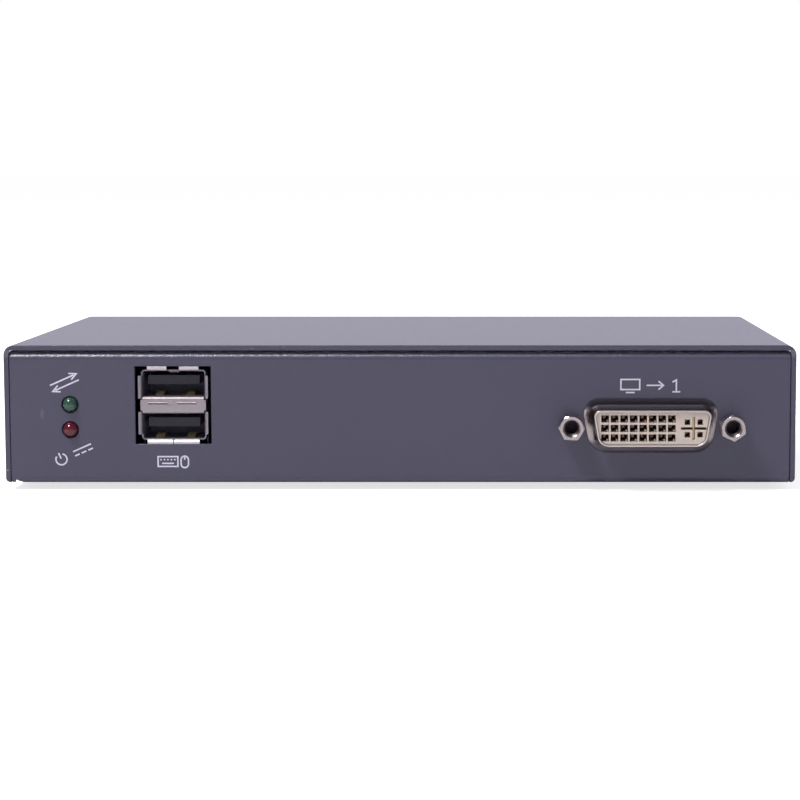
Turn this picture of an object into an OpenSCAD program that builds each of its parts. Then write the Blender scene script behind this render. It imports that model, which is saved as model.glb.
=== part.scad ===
// Receiver of a pair that carries screen, keyboard and mouse over optical fibre.
// A folded sheet-metal case holds one board with its sockets at the front, and a
// plug-in fibre module and a power inlet at the back.
// X runs to the right as seen from the front, Y to the back, Z up. The origin is the
// middle of the bounding box, on the surface that the feet stand on.

/* [Case] */
// Width over the cover
case_w = 160; // [156:1:190]
// Depth from the front panel to the back panel
case_d = 90; // [88:1:120]
// Height from the floor sheet to the top of the cover
case_h = 28; // [27:0.5:36]
// Thickness of the steel sheet
sheet_t = 1; // [0.8:0.1:1.2]
// Outer radius of the cover's two long bends
cover_bend_r = 2; // [1.5:0.1:3]
// Outer radius of the chassis's bends
chassis_bend_r = 1.5; // [1.3:0.1:2]
// Gap between the chassis and the cover at each side
side_gap = 0.15; // [0.1:0.05:0.3]
// Gap between the panels' top lips and the cover
top_gap = 0.4; // [0.2:0.05:0.8]
// Depth of the lip folded back at the top of each panel
panel_lip = 8; // [5:0.5:12]
// Height of the flanges that the cover is screwed to
flange_h = 12; // [11:0.5:13]
// Height of the cover screws above the floor
cover_screw_z = 7.5; // [6.5:0.1:8]
// Distance of the cover screws from the panels
cover_screw_inset = 17; // [14:1:24]
// Height of the air slots in the cover's sides
vent_h = 9; // [5:0.5:9]
// Width of one air slot
vent_w = 2; // [1.5:0.1:2.5]
// Distance from one air slot to the next
vent_pitch = 4.4; // [4:0.1:6]

/* [Feet] */
// Diameter of a rubber foot
foot_d = 10; // [8:0.5:12]
// Thickness of a rubber foot
foot_h = 1.5; // [1:0.1:3]
// Distance of a foot's middle from the case's sides and ends
foot_inset = 18; // [14:1:24]

/* [Board] */
// Height of the posts that carry the board
standoff_h = 5; // [4.5:0.1:5.5]
// Thickness of the board
board_t = 1.6; // [1.2:0.1:2]
// Gap between the board and the flange at each side
board_side_gap = 2.5; // [1.5:0.1:4]
// Gap between the board and the panel at each end
board_end_gap = 1.5; // [1.2:0.1:2]

/* [Video socket] */
// Distance of the socket's middle from the case's right side
dvi_from_right = 29.3; // [26:0.1:34]
// Width of the hood at its mouth
hood_w = 23.45; // [23:0.05:24]
// Height of the hood at its mouth
hood_h = 7.3; // [7:0.05:7.8]
// Reach of the hood in front of the panel
hood_reach = 6; // [5:0.1:7]
// Thickness of the hood's sheet
hood_t = 0.4; // [0.3:0.05:0.5]
// Radius of the flare where the hood turns into its flange
flare_r = 1.65; // [1.2:0.05:1.8]
// Lean of the hood's two short sides, in degrees
hood_lean = 10; // [8:1:12]
// Radius of the hood's two upper corners
hood_top_r = 1.3; // [1:0.1:1.6]
// Radius of the hood's two lower corners
hood_low_r = 2.3; // [2:0.1:2.6]
// Distance between neighbouring contacts
contact_pitch = 1.905; // [1.85:0.005:1.95]
// Distance between the two jackscrews
jack_spacing = 32.4; // [32:0.1:34]
// Width of a jackscrew's hexagon across its flats
hex_af = 4.7; // [4.5:0.05:5]
// Reach of a jackscrew in front of the panel
hex_reach = 5.5; // [4.5:0.1:6]
// Radius of a jackscrew's threaded hole
jack_bore_r = 1.42; // [1.35:0.01:1.5]

/* [Keyboard and mouse sockets] */
// Distance of the socket's middle from the case's left side
usb_from_left = 34.1; // [30:0.1:40]
// Height of the socket's shell above the board
usb_lift = 1.1; // [1:0.05:1.5]
// Width of one opening
port_w = 12.5; // [12.3:0.05:12.7]
// Height of one opening
port_h = 5.12; // [5:0.02:5.3]
// Distance between the two openings' middles
port_pitch = 8.6; // [8.4:0.1:9.2]
// Thickness of the shell's sheet
shell_t = 0.3; // [0.25:0.05:0.35]
// Depth of the shell behind the panel's face
shell_depth = 17; // [16:0.5:18]
// Width of the tongue in each opening
tongue_w = 10.4; // [10:0.1:11]
// Thickness of the tongue in each opening
tongue_t = 1.8; // [1.6:0.05:2]

/* [Lights] */
// Distance of the lights from the case's left side
led_from_left = 13.25; // [12:0.05:16]
// Diameter of a light
led_d = 3; // [2.9:0.05:3.1]
// Height of the lower light above the board
led_lift = 3.3; // [3.1:0.1:4]
// Distance between the two lights
led_pitch = 5.1; // [4.8:0.05:5.6]
// Reach of a light's dome in front of the panel
led_reach = 1.3; // [0.8:0.1:2]

/* [Fibre module] */
// Distance of the module's middle from the case's right side, as seen from the front
sfp_from_right = 54; // [46:1:62]
// Width of the cage
cage_w = 14.5; // [14.4:0.05:14.8]
// Height of the cage
cage_h = 9.8; // [9.7:0.05:10]
// Length of the cage
cage_l = 47.5; // [46:0.5:50]
// Thickness of the cage's sheet
cage_t = 0.3; // [0.25:0.05:0.35]
// Width of the module
module_w = 13.4; // [13.2:0.05:13.5]
// Height of the module in its cage
module_h = 8.5; // [8.4:0.05:8.6]
// Reach of the module behind the back panel
nose_reach = 11.5; // [11:0.1:13]
// Rise of the module's nose above its body
nose_rise = 0.95; // [0.9:0.05:1.1]
// Distance between the two fibre ports
fibre_pitch = 6.25; // [6.2:0.01:6.3]
// Width and height of one fibre port
fibre_port = 4.8; // [4.7:0.05:4.9]
// Radius of the bail's wire
bail_r = 0.55; // [0.5:0.05:0.6]

/* [Power inlet] */
// Distance of the inlet's middle from the case's left side, as seen from the front
inlet_from_left = 24; // [20:0.5:28]
// Radius of the hole for the plug
inlet_bore_r = 3.2; // [3.1:0.05:3.3]
// Radius of the centre pin
inlet_pin_r = 1; // [0.9:0.05:1.25]
// Width of the inlet's body
inlet_w = 9; // [8.8:0.1:9.4]
// Depth of the inlet's body behind the back panel
inlet_l = 13; // [12:0.1:14]

/* [Hidden] */
// Fineness of round shapes
$fn = 48;
// Overrun of every cut
cut = 0.5;
// Gap left between pieces that are put together by hand
fit_gap = 0.05;
// Steps in each round of the hood's outline and of its section
corner_steps = 7;
arc_steps = 7;

// Case
chassis_w = case_w - 2 * (sheet_t + side_gap);
chassis_h = case_h - sheet_t - top_gap;
front_y = -(case_d + nose_reach - hood_reach) / 2;
rear_y = front_y + case_d;
mid_y = (front_y + rear_y) / 2;
cover_lift = 0.15;
hem_r = 0.9;
relief_gap = 1;
notch_w = 1.35;
notch_h = 0.6;
notch_in = 0.6;
screw_r = 1.45;
screw_head_r = 2.7;
screw_l = 5;
cover_screw_l = 4;
recess_w = 0.6;
recess_l = 2.8;
recess_depth = 0.6;
cover_screw_ys = [front_y + cover_screw_inset, rear_y - cover_screw_inset];
vent_z = foot_h + chassis_h - sheet_t - vent_h / 2 - 1.5 * sheet_t;
vent_count = floor((case_d - 2 * (panel_lip + vent_pitch)) / vent_pitch);

// Board
board_low = foot_h + sheet_t + standoff_h;
board_top = board_low + board_t;
board_w = chassis_w - 2 * (sheet_t + board_side_gap);
board_y = front_y + sheet_t + board_end_gap;
board_d = case_d - 2 * (sheet_t + board_end_gap);
standoff_af = 5;
standoff_side_inset = 5;
standoff_front_inset = 15;
standoff_rear_inset = 6;
standoff_shank_r = 2.1;
pan_head_r = 2.75;
pan_head_h = 1.8;
tail_reach = 1.2;
leg_hole_r = 0.95;
pin_hole_r = 0.45;
standoff_places = [
    for (side = [-1, 1])
        for (y = [board_y + standoff_front_inset, board_y + board_d - standoff_rear_inset])
            [side * (board_w / 2 - standoff_side_inset), y]
];

// Video socket, from the middle of its mouth
dvi_block_h = 8.3;
dvi_block_w = 25;
dvi_block_l = 11;
dvi_x = case_w / 2 - dvi_from_right;
dvi_z = board_top + dvi_block_h / 2;
hood_side = hood_top_r + (hood_w / 2 - hood_top_r) * cos(hood_lean)
    - (hood_h / 2 - hood_top_r) * sin(hood_lean);
hood_sides = [[-hood_lean, hood_side], [90, hood_h / 2], [180 + hood_lean, hood_side], [270, hood_h / 2]];
hood_radii = [hood_top_r, hood_top_r, hood_low_r, hood_low_r];
hood_foot = -sheet_t;
dvi_cut_gap = 0.15;
dvi_flange_w = 39.5;
dvi_flange_h = 12.6;
dvi_flange_r = 1;
dvi_back = hood_foot - hood_t;
dvi_face_sink = 0.5;
contact_hole_w = 1.55;
contact_hole_h = 1.46;
contact_hole_l = 7;
contact_t = 0.5;
contact_sink = 3.4;
contact_peg_w = 0.3;
contact_peg_sink = 0.45;
contact_peg_side = 0.32;
contacts_left = 9.525;
contact_columns = 8;
analog_x = 8.2;
analog_spacing = 2.54;
analog_hole_w = 1.1;
cross_w = 5.1;
cross_h = 4.5;
cross_slot = 0.5;
cross_t = 0.3;
cross_upright_sink = 0.6;
tail_gap = 1;
shield_t = 0.3;
shield_gap = 0.2;
shield_back = dvi_back - dvi_block_l - 2 * tail_gap - 2 * contact_pitch;
shield_leg_w = 1.5;
stud_hole_r = 1.6;
dvi_nut_af = 4.9;
dvi_nut_t = 2.4;
jack_bore_l = 5;
jack_bevel = 0.38;
jack_turns = [-3, -84.5];

// Keyboard and mouse sockets, from the middle of the stack
usb_x = usb_from_left - case_w / 2;
shell_w = port_w + 2 * shell_t;
shell_h = port_pitch + port_h + 2 * shell_t;
shell_r = 0.8;
usb_z = board_top + usb_lift + shell_h / 2;
usb_cut_side_gap = 1.15;
usb_cut_end_gap = 0.75;
usb_cut_w = shell_w + 2 * usb_cut_side_gap;
usb_cut_h = shell_h + 2 * usb_cut_end_gap;
side_lip = 0.5;
side_lip_l = 4.6;
side_lip_shift = 0.65;
top_lip = 0.7;
top_lip_l = 3.95;
top_lip_x = 3.23;
low_lip = 0.7;
low_lip_l = 5.2;
low_lip_gap = 0.15;
shell_front = -(top_lip + shell_t);
spring_tab_l = 1.8;
bridge_h = port_pitch - port_h;
bridge_w = 13.2;
bridge_l = 9;
bridge_r = 0.7;
bridge_slot_l = 3.85;
bridge_slot_h = 0.18;
bridge_slot_y = 0.28;
bridge_slot_xs = [-3.1, 2.8];
bridge_rib_r = 0.16;
bridge_rib_rise = 0.09;
bridge_dimple_r = 0.25;
bridge_dimple_x = 0.65;
tongue_drop = 0.9;
tongue_front = -1.7;
usb_block_front = -10.2;
usb_strip_w = 1;
usb_strip_t = 0.25;
usb_strip_rise = 0.05;
usb_strip_front = -2.6;
usb_tails = [-12.4, -15];
usb_strip_xs = [-3.5, -1, 1, 3.5];
usb_leg_places = [-5, -14];
finger_w = 1.6;
finger_l = 6;
finger_rise = 0.75;
finger_t = 0.25;
finger_x = 3.15;
finger_z = -6;

// Lights
led_x = led_from_left - case_w / 2;
led_zs = [board_top + led_lift, board_top + led_lift + led_pitch];
led_hole_gap = 0.2;
led_hole_d = led_d + 2 * led_hole_gap;
led_collar_r = 1.9;
led_collar_t = 1;
led_back = -4.9;
holder_w = 5.5;
holder_front = -1.6;
holder_l = 6;
holder_roof = 0.75;
lead_t = 0.5;
lead_x = 1.27;
lead_tails = [-8.9, -10.6];

// Fibre module, from the middle of the cage's mouth at the back panel
sfp_x = case_w / 2 - sfp_from_right;
sfp_z = board_top + cage_h / 2;
cage_out = 0.8;
cage_r = 0.6;
sfp_cut_gap = 0.25;
cage_leg_places = [-10, -24, -38];
cage_leg_w = 0.8;
cage_leg_l = 2.6;
cage_leg_hole_r = 0.55;
latch_window_w = 5;
tongue_root = -9;
latch_strip_w = 4.4;
boss_w = 2.2;
boss_l = 1.9;
boss_hole_gap = 0.35;
collar_t = 0.2;
collar_flare = 0.8;
collar_l = 1.4;
collar_slot = 0.25;
host_w = 12.6;
host_h = 5.2;
host_l = 5.6;
host_slot_w = 12;
host_slot_h = 1.15;
card_w = 11.8;
card_t = 1;
card_lift = 3.4;
card_y = card_lift - cage_h / 2;
card_in = 3;
host_back_gap = 0.2;
host_front_gap = 0.4;
host_front = cage_out - cage_l + cage_t + host_back_gap + host_l;
body_end = host_front + host_front_gap;
module_wall = 0.6;
module_front = 1;
cavity_front = -9;
nose_low = -module_h / 2;
nose_top = module_h / 2 + nose_rise;
port_low = -1.9;
port_deep = 8.3;
key_w = 2.6;
key_h = 1.6;
bail_pin_r = bail_r - fit_gap;
bail_pin_y = -2.75;
bail_inset = 1.6;
bail_z = nose_reach - bail_inset;
bail_reach = 8.9;
bail_gap = 0.2;
bail_corner_r = 1.6;
lobe_r = 0.3;
lobe_reach = 0.65;
lobe_w = 3.2;
channel_w = 4.6;
channel_top = -2.3;
channel_back = -7;
rocker_w = 4.2;
rocker_t = 0.8;
rocker_lift = 0.1;
rocker_low = nose_low + rocker_lift;
rocker_back = -6;
rocker_end = 0.5;
rocker_front = bail_z + rocker_end;
rocker_pin_r = 0.35;
rocker_pin_z = 3;
rocker_pin_l = 0.7;
boss_z = -3;
boss_drop = 0.7;
sleeve_r = 1.45;
sleeve_bore_r = 0.64;
sleeve_out = 3;
port_y = port_low + fibre_port / 2;
can_r = 2.8;
can_l = 7;
card_gap = 1.4;
card_front = cavity_front - can_l - card_gap;

// Power inlet, from the middle of its hole
inlet_x = inlet_from_left - case_w / 2;
inlet_lift = 6.5;
inlet_head = 4.5;
inlet_z = board_top + inlet_lift;
inlet_wall = 0.75;
inlet_snout_r = inlet_bore_r + inlet_wall;
inlet_hole_gap = 0.2;
inlet_hole_r = inlet_snout_r + inlet_hole_gap;
inlet_bore_l = 9.5;
inlet_pin_sink = 0.7;
inlet_leaf_w = 2;
inlet_leaf_l = 5.5;
inlet_leaf_rise = 0.55;
inlet_tab_w = 2.2;
inlet_tab_t = 0.5;
inlet_tab_hole_r = 1.2;
inlet_tab_places = [-6.5, -12];

// Chips and other parts on the board
processor_shares = [0.42, 0.56];
processor_w = 19;
processor_t = 1.7;
pad_t = 0.5;
sink_w = 28;
sink_base_t = 2;
sink_h = 7;
sink_fin_t = 1.1;
sink_fins = 8;
memory_shares = [[0.27, 0.45], [0.27, 0.63]];
memory_size = [8, 12, 1.1];
video_shares = [0.86, 0.52];
video_w = 14;
video_t = 1.4;
video_leads = 12;
lead_pitch = 0.9;
chip_lead_w = 0.35;
chip_lead_t = 0.15;
chip_lead_l = 1;
chip_lift = 0.1;
hub_shares = [0.19, 0.33];
hub_w = 9;
hub_t = 0.9;
crystal_shares = [[0.34, 0.22], [0.78, 0.3]];
crystal_w = 4.7;
crystal_l = 11;
crystal_h = 3.6;
coil_shares = [[0.055, 0.6], [0.14, 0.6]];
coil_w = 7;
coil_h = 4;
capacitor_shares = [[0.21, 0.81], [0.28, 0.81], [0.35, 0.81], [0.35, 0.92]];
capacitor_r = 3.15;
capacitor_h = 7.7;
capacitor_base_h = 1;
regulator_shares = [[0.055, 0.42], [0.14, 0.46]];
regulator_w = 6.5;
regulator_l = 3.5;
regulator_h = 1.6;

// Direction that points an angle away from X
function away(angle) = [cos(angle), sin(angle)];

// The four sides of a box, each as the angle that it faces and its distance from the middle
function box_sides(w, h) = [[0, w / 2], [90, h / 2], [180, w / 2], [270, h / 2]];

// The same radius for four corners
function four(r) = [r, r, r, r];

// Middle of the round of radius r that fits between two sides
function round_middle(a, b, r) =
    let (
        n = away(a[0]),
        m = away(b[0]),
        across = n.x * m.y - n.y * m.x,
        u = a[1] - r,
        v = b[1] - r
    )
    [(u * m.y - v * n.y) / across, (n.x * v - m.x * u) / across];

// Middles of all rounds of an outline
function round_middles(sides, radii) = [
    for (i = [0:len(sides) - 1]) round_middle(sides[i], sides[(i + 1) % len(sides)], radii[i])
];

// Angle that the outline turns through at corner i
function corner_turn(sides, i) = (sides[(i + 1) % len(sides)][0] - sides[i][0] + 360) % 360;

// Flat outline with straight sides and round corners, drawn out or in by grow
module outline(sides, radii, grow = 0) {
    middles = round_middles(sides, radii);
    polygon([
        for (i = [0:len(sides) - 1])
            for (side = [sides[i], sides[(i + 1) % len(sides)]])
                middles[i] + (radii[i] + grow) * away(side[0])
    ]);
    for (i = [0:len(sides) - 1])
        translate(middles[i])
            circle(radii[i] + grow);
}

// Points of an outline drawn out by grow, with each round in equal steps
function outline_points(sides, radii, grow) =
    let (middles = round_middles(sides, radii))
    [
        for (i = [0:len(sides) - 1])
            for (k = [0:corner_steps])
                middles[i] + (radii[i] + grow) * away(sides[i][0] + corner_turn(sides, i) * k / corner_steps)
    ];

// Closed wall that follows an outline: each point of its section is [distance out, z]
module drawn_hood(sides, radii, section) {
    rings = [for (point = section) outline_points(sides, radii, point[0])];
    n = len(rings[0]);
    m = len(section);
    polyhedron(
        points = [for (j = [0:m - 1]) for (point = rings[j]) [point.x, point.y, section[j][1]]],
        faces = [
            for (j = [0:m - 1])
                for (i = [0:n - 1])
                    [
                        j * n + i,
                        (j + 1) % m * n + i,
                        (j + 1) % m * n + (i + 1) % n,
                        j * n + (i + 1) % n
                    ]
        ]
    );
}

// Carries a wall's section round a box outline: its x points outwards, and its y becomes z
module drawn_wall(sides, radii) {
    middles = round_middles(sides, radii);
    for (i = [0:len(sides) - 1]) {
        next = (i + 1) % len(sides);
        facing = sides[next][0];
        run = (middles[next] - middles[i]) * away(facing + 90);
        translate(middles[i])
            rotate(sides[i][0])
                rotate_extrude(angle = corner_turn(sides, i))
                    translate([radii[i], 0])
                        children();
        translate(middles[i] + radii[i] * away(facing))
            rotate(facing)
                translate([0, run, 0])
                    rotate([90, 0, 0])
                        linear_extrude(run)
                            children();
    }
}

// Quarter of a flat ring, from angle start on
module quarter_ring(r_in, r_out, start) {
    intersection() {
        difference() {
            circle(r_out);
            circle(r_in);
        }
        rotate(start)
            square(r_out + cut);
    }
}

// Flat strip that bows up by rise over length l, standing on y = 0 with its middle at x = 0
module bow(l, rise, t) {
    r = (l * l / 4 + rise * rise) / (2 * rise);
    intersection() {
        translate([0, rise - r])
            difference() {
                circle(r);
                circle(r - t);
            }
        translate([-l / 2, 0])
            square([l, rise]);
    }
}

// Places a piece on the front panel: x to the right, y up, z out of the panel
module on_front(x, z) {
    translate([x, front_y, z])
        rotate([90, 0, 0])
            children();
}

// Places a piece on the back panel: y up, z out of the panel
module on_rear(x, z) {
    translate([x, rear_y, z])
        rotate([90, 0, 180])
            children();
}

// Places a piece on the board, at shares of its width and depth
module on_board(shares) {
    translate([board_w * (shares[0] - 1 / 2), board_y + board_d * shares[1], board_top])
        children();
}

// Extrudes a flat shape to both sides of x = 0: its x becomes z out of the panel, its y stays up
module across(w) {
    translate([-w / 2, 0, 0])
        rotate([0, 90, 0])
            mirror([1, 0, 0])
                linear_extrude(w)
                    children();
}

// Contact that runs back from its tip at height y and turns down to its tail
module bent_contact(x, y, w, t, tip, tail, low) {
    translate([x - w / 2, y - t / 2, tail - t / 2])
        cube([w, t, tip - tail + t / 2]);
    translate([x - w / 2, low, tail - t / 2])
        cube([w, y + t / 2 - low, t]);
}

// Cross recess of a screw, cut down from z = 0
module cross_recess() {
    for (turn = [0, 90])
        rotate(turn)
            translate([-recess_l / 2, -recess_w / 2, -recess_depth])
                cube([recess_l, recess_w, recess_depth + cut]);
}

// Places a piece at each cover screw, z pointing out of the cover
module at_cover_screws() {
    for (side = [-1, 1])
        for (y = cover_screw_ys)
            translate([side * case_w / 2, y, foot_h + cover_screw_z])
                rotate([0, side * 90, 0])
                    children();
}

// Chassis

// Section of the floor, both panels and their top lips
module chassis_section() {
    difference() {
        translate([mid_y, foot_h + chassis_h / 2])
            outline(box_sides(case_d, chassis_h), four(chassis_bend_r));
        translate([mid_y, foot_h + chassis_h / 2])
            outline(box_sides(case_d, chassis_h), four(chassis_bend_r), -sheet_t);
        translate([front_y + panel_lip, foot_h + chassis_h - sheet_t - cut])
            square([case_d - 2 * panel_lip, sheet_t + 2 * cut]);
    }
}

// Section of the flange along the right side of the floor
module flange_section() {
    translate([chassis_w / 2 - chassis_bend_r, foot_h + chassis_bend_r])
        quarter_ring(chassis_bend_r - sheet_t, chassis_bend_r, -90);
    translate([chassis_w / 2 - sheet_t, foot_h + chassis_bend_r])
        square([sheet_t, flange_h - chassis_bend_r]);
}

module side_flanges() {
    flange_in = chassis_bend_r + relief_gap;
    for (side = [0, 1])
        mirror([side, 0, 0])
            translate([0, rear_y - flange_in, 0])
                rotate([90, 0, 0])
                    linear_extrude(case_d - 2 * flange_in)
                        flange_section();
}

module floor_side_cuts() {
    for (side = [-1, 1])
        translate([side * chassis_w / 2 - chassis_bend_r, front_y + chassis_bend_r, foot_h - cut])
            cube([2 * chassis_bend_r, case_d - 2 * chassis_bend_r, chassis_h - sheet_t]);
}

module front_holes() {
    on_front(usb_x, usb_z)
        cube([usb_cut_w, usb_cut_h, 2 * (sheet_t + cut)], center = true);
    on_front(dvi_x, dvi_z)
        translate([0, 0, -sheet_t - cut])
            linear_extrude(sheet_t + 2 * cut)
                outline(hood_sides, hood_radii, flare_r + dvi_cut_gap);
    for (side = [-1, 1])
        on_front(dvi_x + side * jack_spacing / 2, dvi_z)
            translate([0, 0, -sheet_t - cut])
                cylinder(h = sheet_t + 2 * cut, r = stud_hole_r);
    for (z = led_zs)
        on_front(led_x, z)
            translate([0, 0, -sheet_t - cut])
                cylinder(h = sheet_t + 2 * cut, d = led_hole_d);
    translate([-chassis_w / 2 + notch_in, front_y - cut, foot_h - cut])
        cube([notch_w, cut + chassis_bend_r + relief_gap, notch_h + cut]);
}

module rear_holes() {
    on_rear(sfp_x, sfp_z)
        cube([cage_w + 2 * sfp_cut_gap, cage_h + 2 * sfp_cut_gap, 2 * (sheet_t + cut)], center = true);
    on_rear(inlet_x, inlet_z)
        translate([0, 0, -sheet_t - cut])
            cylinder(h = sheet_t + 2 * cut, r = inlet_hole_r);
}

module chassis() {
    color("#52505f")
        difference() {
            union() {
                difference() {
                    translate([-chassis_w / 2, 0, 0])
                        rotate([90, 0, 90])
                            linear_extrude(chassis_w)
                                chassis_section();
                    floor_side_cuts();
                }
                side_flanges();
            }
            front_holes();
            rear_holes();
            for (place = standoff_places)
                translate([place.x, place.y, foot_h - cut])
                    cylinder(h = sheet_t + 2 * cut, r = standoff_shank_r + fit_gap);
            at_cover_screws()
                translate([0, 0, -2 * (sheet_t + side_gap) - cut])
                    cylinder(h = sheet_t + side_gap + cut, r = screw_r + fit_gap);
        }
}

// Cover

module cover_section() {
    difference() {
        translate([0, foot_h + (case_h + cover_lift) / 2])
            outline(
                box_sides(case_w, case_h - cover_lift),
                [cover_bend_r, cover_bend_r, hem_r, hem_r]
            );
        translate([0, foot_h + case_h / 2 - sheet_t])
            outline(box_sides(case_w - 2 * sheet_t, case_h), four(cover_bend_r - sheet_t));
    }
}

module vent_cuts() {
    for (i = [0:vent_count - 1])
        translate([-case_w / 2 - cut, mid_y + (i - (vent_count - 1) / 2) * vent_pitch, vent_z])
            rotate([0, 90, 0]) {
                for (end = [-1, 1])
                    translate([end * (vent_h - vent_w) / 2, 0, 0])
                        cylinder(h = case_w + 2 * cut, d = vent_w);
                translate([-(vent_h - vent_w) / 2, -vent_w / 2, 0])
                    cube([vent_h - vent_w, vent_w, case_w + 2 * cut]);
            }
}

module cover() {
    color("#585664")
        difference() {
            translate([0, rear_y, 0])
                rotate([90, 0, 0])
                    linear_extrude(case_d)
                        cover_section();
            vent_cuts();
            at_cover_screws() {
                translate([0, 0, -sheet_t])
                    cylinder(h = sheet_t, r1 = screw_r + fit_gap, r2 = screw_head_r + fit_gap);
                cylinder(h = cut, r = screw_head_r + fit_gap);
                translate([0, 0, -sheet_t - cut])
                    cylinder(h = 2 * cut, r = screw_r + fit_gap);
            }
        }
}

module cover_screws() {
    color("#3a3942")
        at_cover_screws()
            difference() {
                union() {
                    translate([0, 0, -sheet_t])
                        cylinder(h = sheet_t, r1 = screw_r, r2 = screw_head_r);
                    translate([0, 0, -cover_screw_l])
                        cylinder(h = cover_screw_l - sheet_t, r = screw_r);
                }
                cross_recess();
            }
}

module rubber_feet() {
    color("#1d1d20")
        for (side = [-1, 1])
            for (y = [front_y + foot_inset, rear_y - foot_inset])
                translate([side * (case_w / 2 - foot_inset), y, 0]) {
                    cylinder(h = foot_h / 2, r1 = foot_d / 2 - foot_h / 4, r2 = foot_d / 2);
                    translate([0, 0, foot_h / 2])
                        cylinder(h = foot_h / 2, d = foot_d);
                }
}

// Board

module standoffs() {
    color("#b9b4ae")
        for (place = standoff_places)
            translate([place.x, place.y, foot_h])
                difference() {
                    union() {
                        cylinder(h = sheet_t, r = standoff_shank_r);
                        translate([0, 0, sheet_t])
                            cylinder(h = standoff_h, d = standoff_af / cos(30), $fn = 6);
                    }
                    translate([0, 0, -cut])
                        cylinder(h = sheet_t + standoff_h + 2 * cut, r = screw_r + fit_gap);
                }
}

// Holes under every contact tail of the video socket
module dvi_tail_holes() {
    on_front(dvi_x, dvi_z)
        rotate([90, 0, 0]) {
            for (row = [0:2])
                for (column = [0:contact_columns - 1])
                    translate([contact_x(column), dvi_tail(row), dvi_block_h / 2 - cut])
                        cylinder(h = board_t + 2 * cut, r = pin_hole_r);
            for (side = [-1, 1])
                for (row = [0, 2])
                    translate([analog_x + side * analog_spacing / 2, dvi_tail(row), dvi_block_h / 2 - cut])
                        cylinder(h = board_t + 2 * cut, r = pin_hole_r);
            translate([analog_x, dvi_tail(1), dvi_block_h / 2 - cut])
                cylinder(h = board_t + 2 * cut, r = pin_hole_r);
            for (side = [-1, 1])
                translate([side * shield_leg_x, shield_leg_z, dvi_block_h / 2 - cut])
                    cylinder(h = board_t + 2 * cut, r = leg_hole_r);
        }
}

module usb_tail_holes() {
    on_front(usb_x, board_top)
        rotate([90, 0, 0]) {
            for (tail = usb_tails)
                for (x = usb_strip_xs)
                    translate([x, tail, -cut])
                        cylinder(h = board_t + 2 * cut, r = usb_strip_w / 2 + fit_gap);
            for (side = [-1, 1])
                for (z = usb_leg_places)
                    translate([side * (shell_w - shell_t) / 2, z, -cut])
                        cylinder(h = board_t + 2 * cut, r = leg_hole_r);
        }
}

module light_lead_holes() {
    on_front(led_x, board_top)
        rotate([90, 0, 0])
            for (tail = lead_tails)
                for (side = [-1, 1])
                    translate([side * lead_x, tail, -cut])
                        cylinder(h = board_t + 2 * cut, r = pin_hole_r);
}

module rear_board_holes() {
    on_rear(sfp_x, board_top)
        rotate([90, 0, 0]) {
            for (side = [-1, 1])
                for (z = cage_leg_places)
                    translate([side * (cage_w - cage_t) / 2, z, -cut])
                        cylinder(h = board_t + 2 * cut, r = cage_leg_hole_r);
            translate([-latch_window_w / 2, tongue_root, -cut])
                cube([latch_window_w, -tongue_root, board_t + 2 * cut]);
        }
    on_rear(inlet_x, board_top)
        rotate([90, 0, 0])
            for (z = inlet_tab_places)
                translate([0, z, -cut])
                    cylinder(h = board_t + 2 * cut, r = inlet_tab_hole_r);
}

module main_board() {
    color("#1f5a3a")
        difference() {
            translate([-board_w / 2, board_y, board_low])
                cube([board_w, board_d, board_t]);
            for (place = standoff_places)
                translate([place.x, place.y, board_low - cut])
                    cylinder(h = board_t + 2 * cut, r = screw_r + 2 * fit_gap);
            dvi_tail_holes();
            usb_tail_holes();
            light_lead_holes();
            rear_board_holes();
        }
}

module board_screws() {
    color("#b9b4ae")
        for (place = standoff_places)
            translate([place.x, place.y, board_top])
                difference() {
                    union() {
                        cylinder(h = pan_head_h, r = pan_head_r);
                        translate([0, 0, -screw_l])
                            cylinder(h = screw_l, r = screw_r);
                    }
                    translate([0, 0, pan_head_h])
                        cross_recess();
                }
}

// Video socket

// Place of a column of contacts across the socket
function contact_x(column) = column * contact_pitch - contacts_left;

// Height of a row of contacts, the top row first
function contact_y(row) = (1 - row) * contact_pitch;

// How far back the tails of a row come down, the top row furthest
function dvi_tail(row) = dvi_back - dvi_block_l - tail_gap - (2 - row) * contact_pitch;

shield_leg_x = dvi_block_w / 2 + shield_gap + shield_t / 2;
shield_leg_z = dvi_back - dvi_block_l + tail_gap;
dvi_low = -dvi_block_h / 2 - board_t - tail_reach;

// Section of the hood's wall, each point as its distance out of the outline and its z
hood_mouth = hood_reach - hood_t / 2;
hood_section = concat(
    [
        for (k = [0:arc_steps])
            [flare_r, hood_foot + flare_r] + flare_r * away(270 - 90 * k / arc_steps)
    ],
    [for (k = [0:arc_steps]) [-hood_t / 2, hood_mouth] + hood_t / 2 * away(180 * k / arc_steps)],
    [
        for (k = [0:arc_steps])
            [flare_r, hood_foot + flare_r] + (flare_r + hood_t) * away(180 + 90 * k / arc_steps)
    ]
);

// Drawn steel hood with its flared root and the flange behind the panel
module dvi_hood() {
    color("#b3abac")
        on_front(dvi_x, dvi_z) {
            drawn_hood(hood_sides, hood_radii, hood_section);
            translate([0, 0, dvi_back])
                linear_extrude(hood_t)
                    difference() {
                        outline(box_sides(dvi_flange_w, dvi_flange_h), four(dvi_flange_r));
                        polygon(outline_points(hood_sides, hood_radii, flare_r));
                        for (side = [-1, 1])
                            translate([side * jack_spacing / 2, 0])
                                circle(stud_hole_r);
                    }
        }
}

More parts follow.
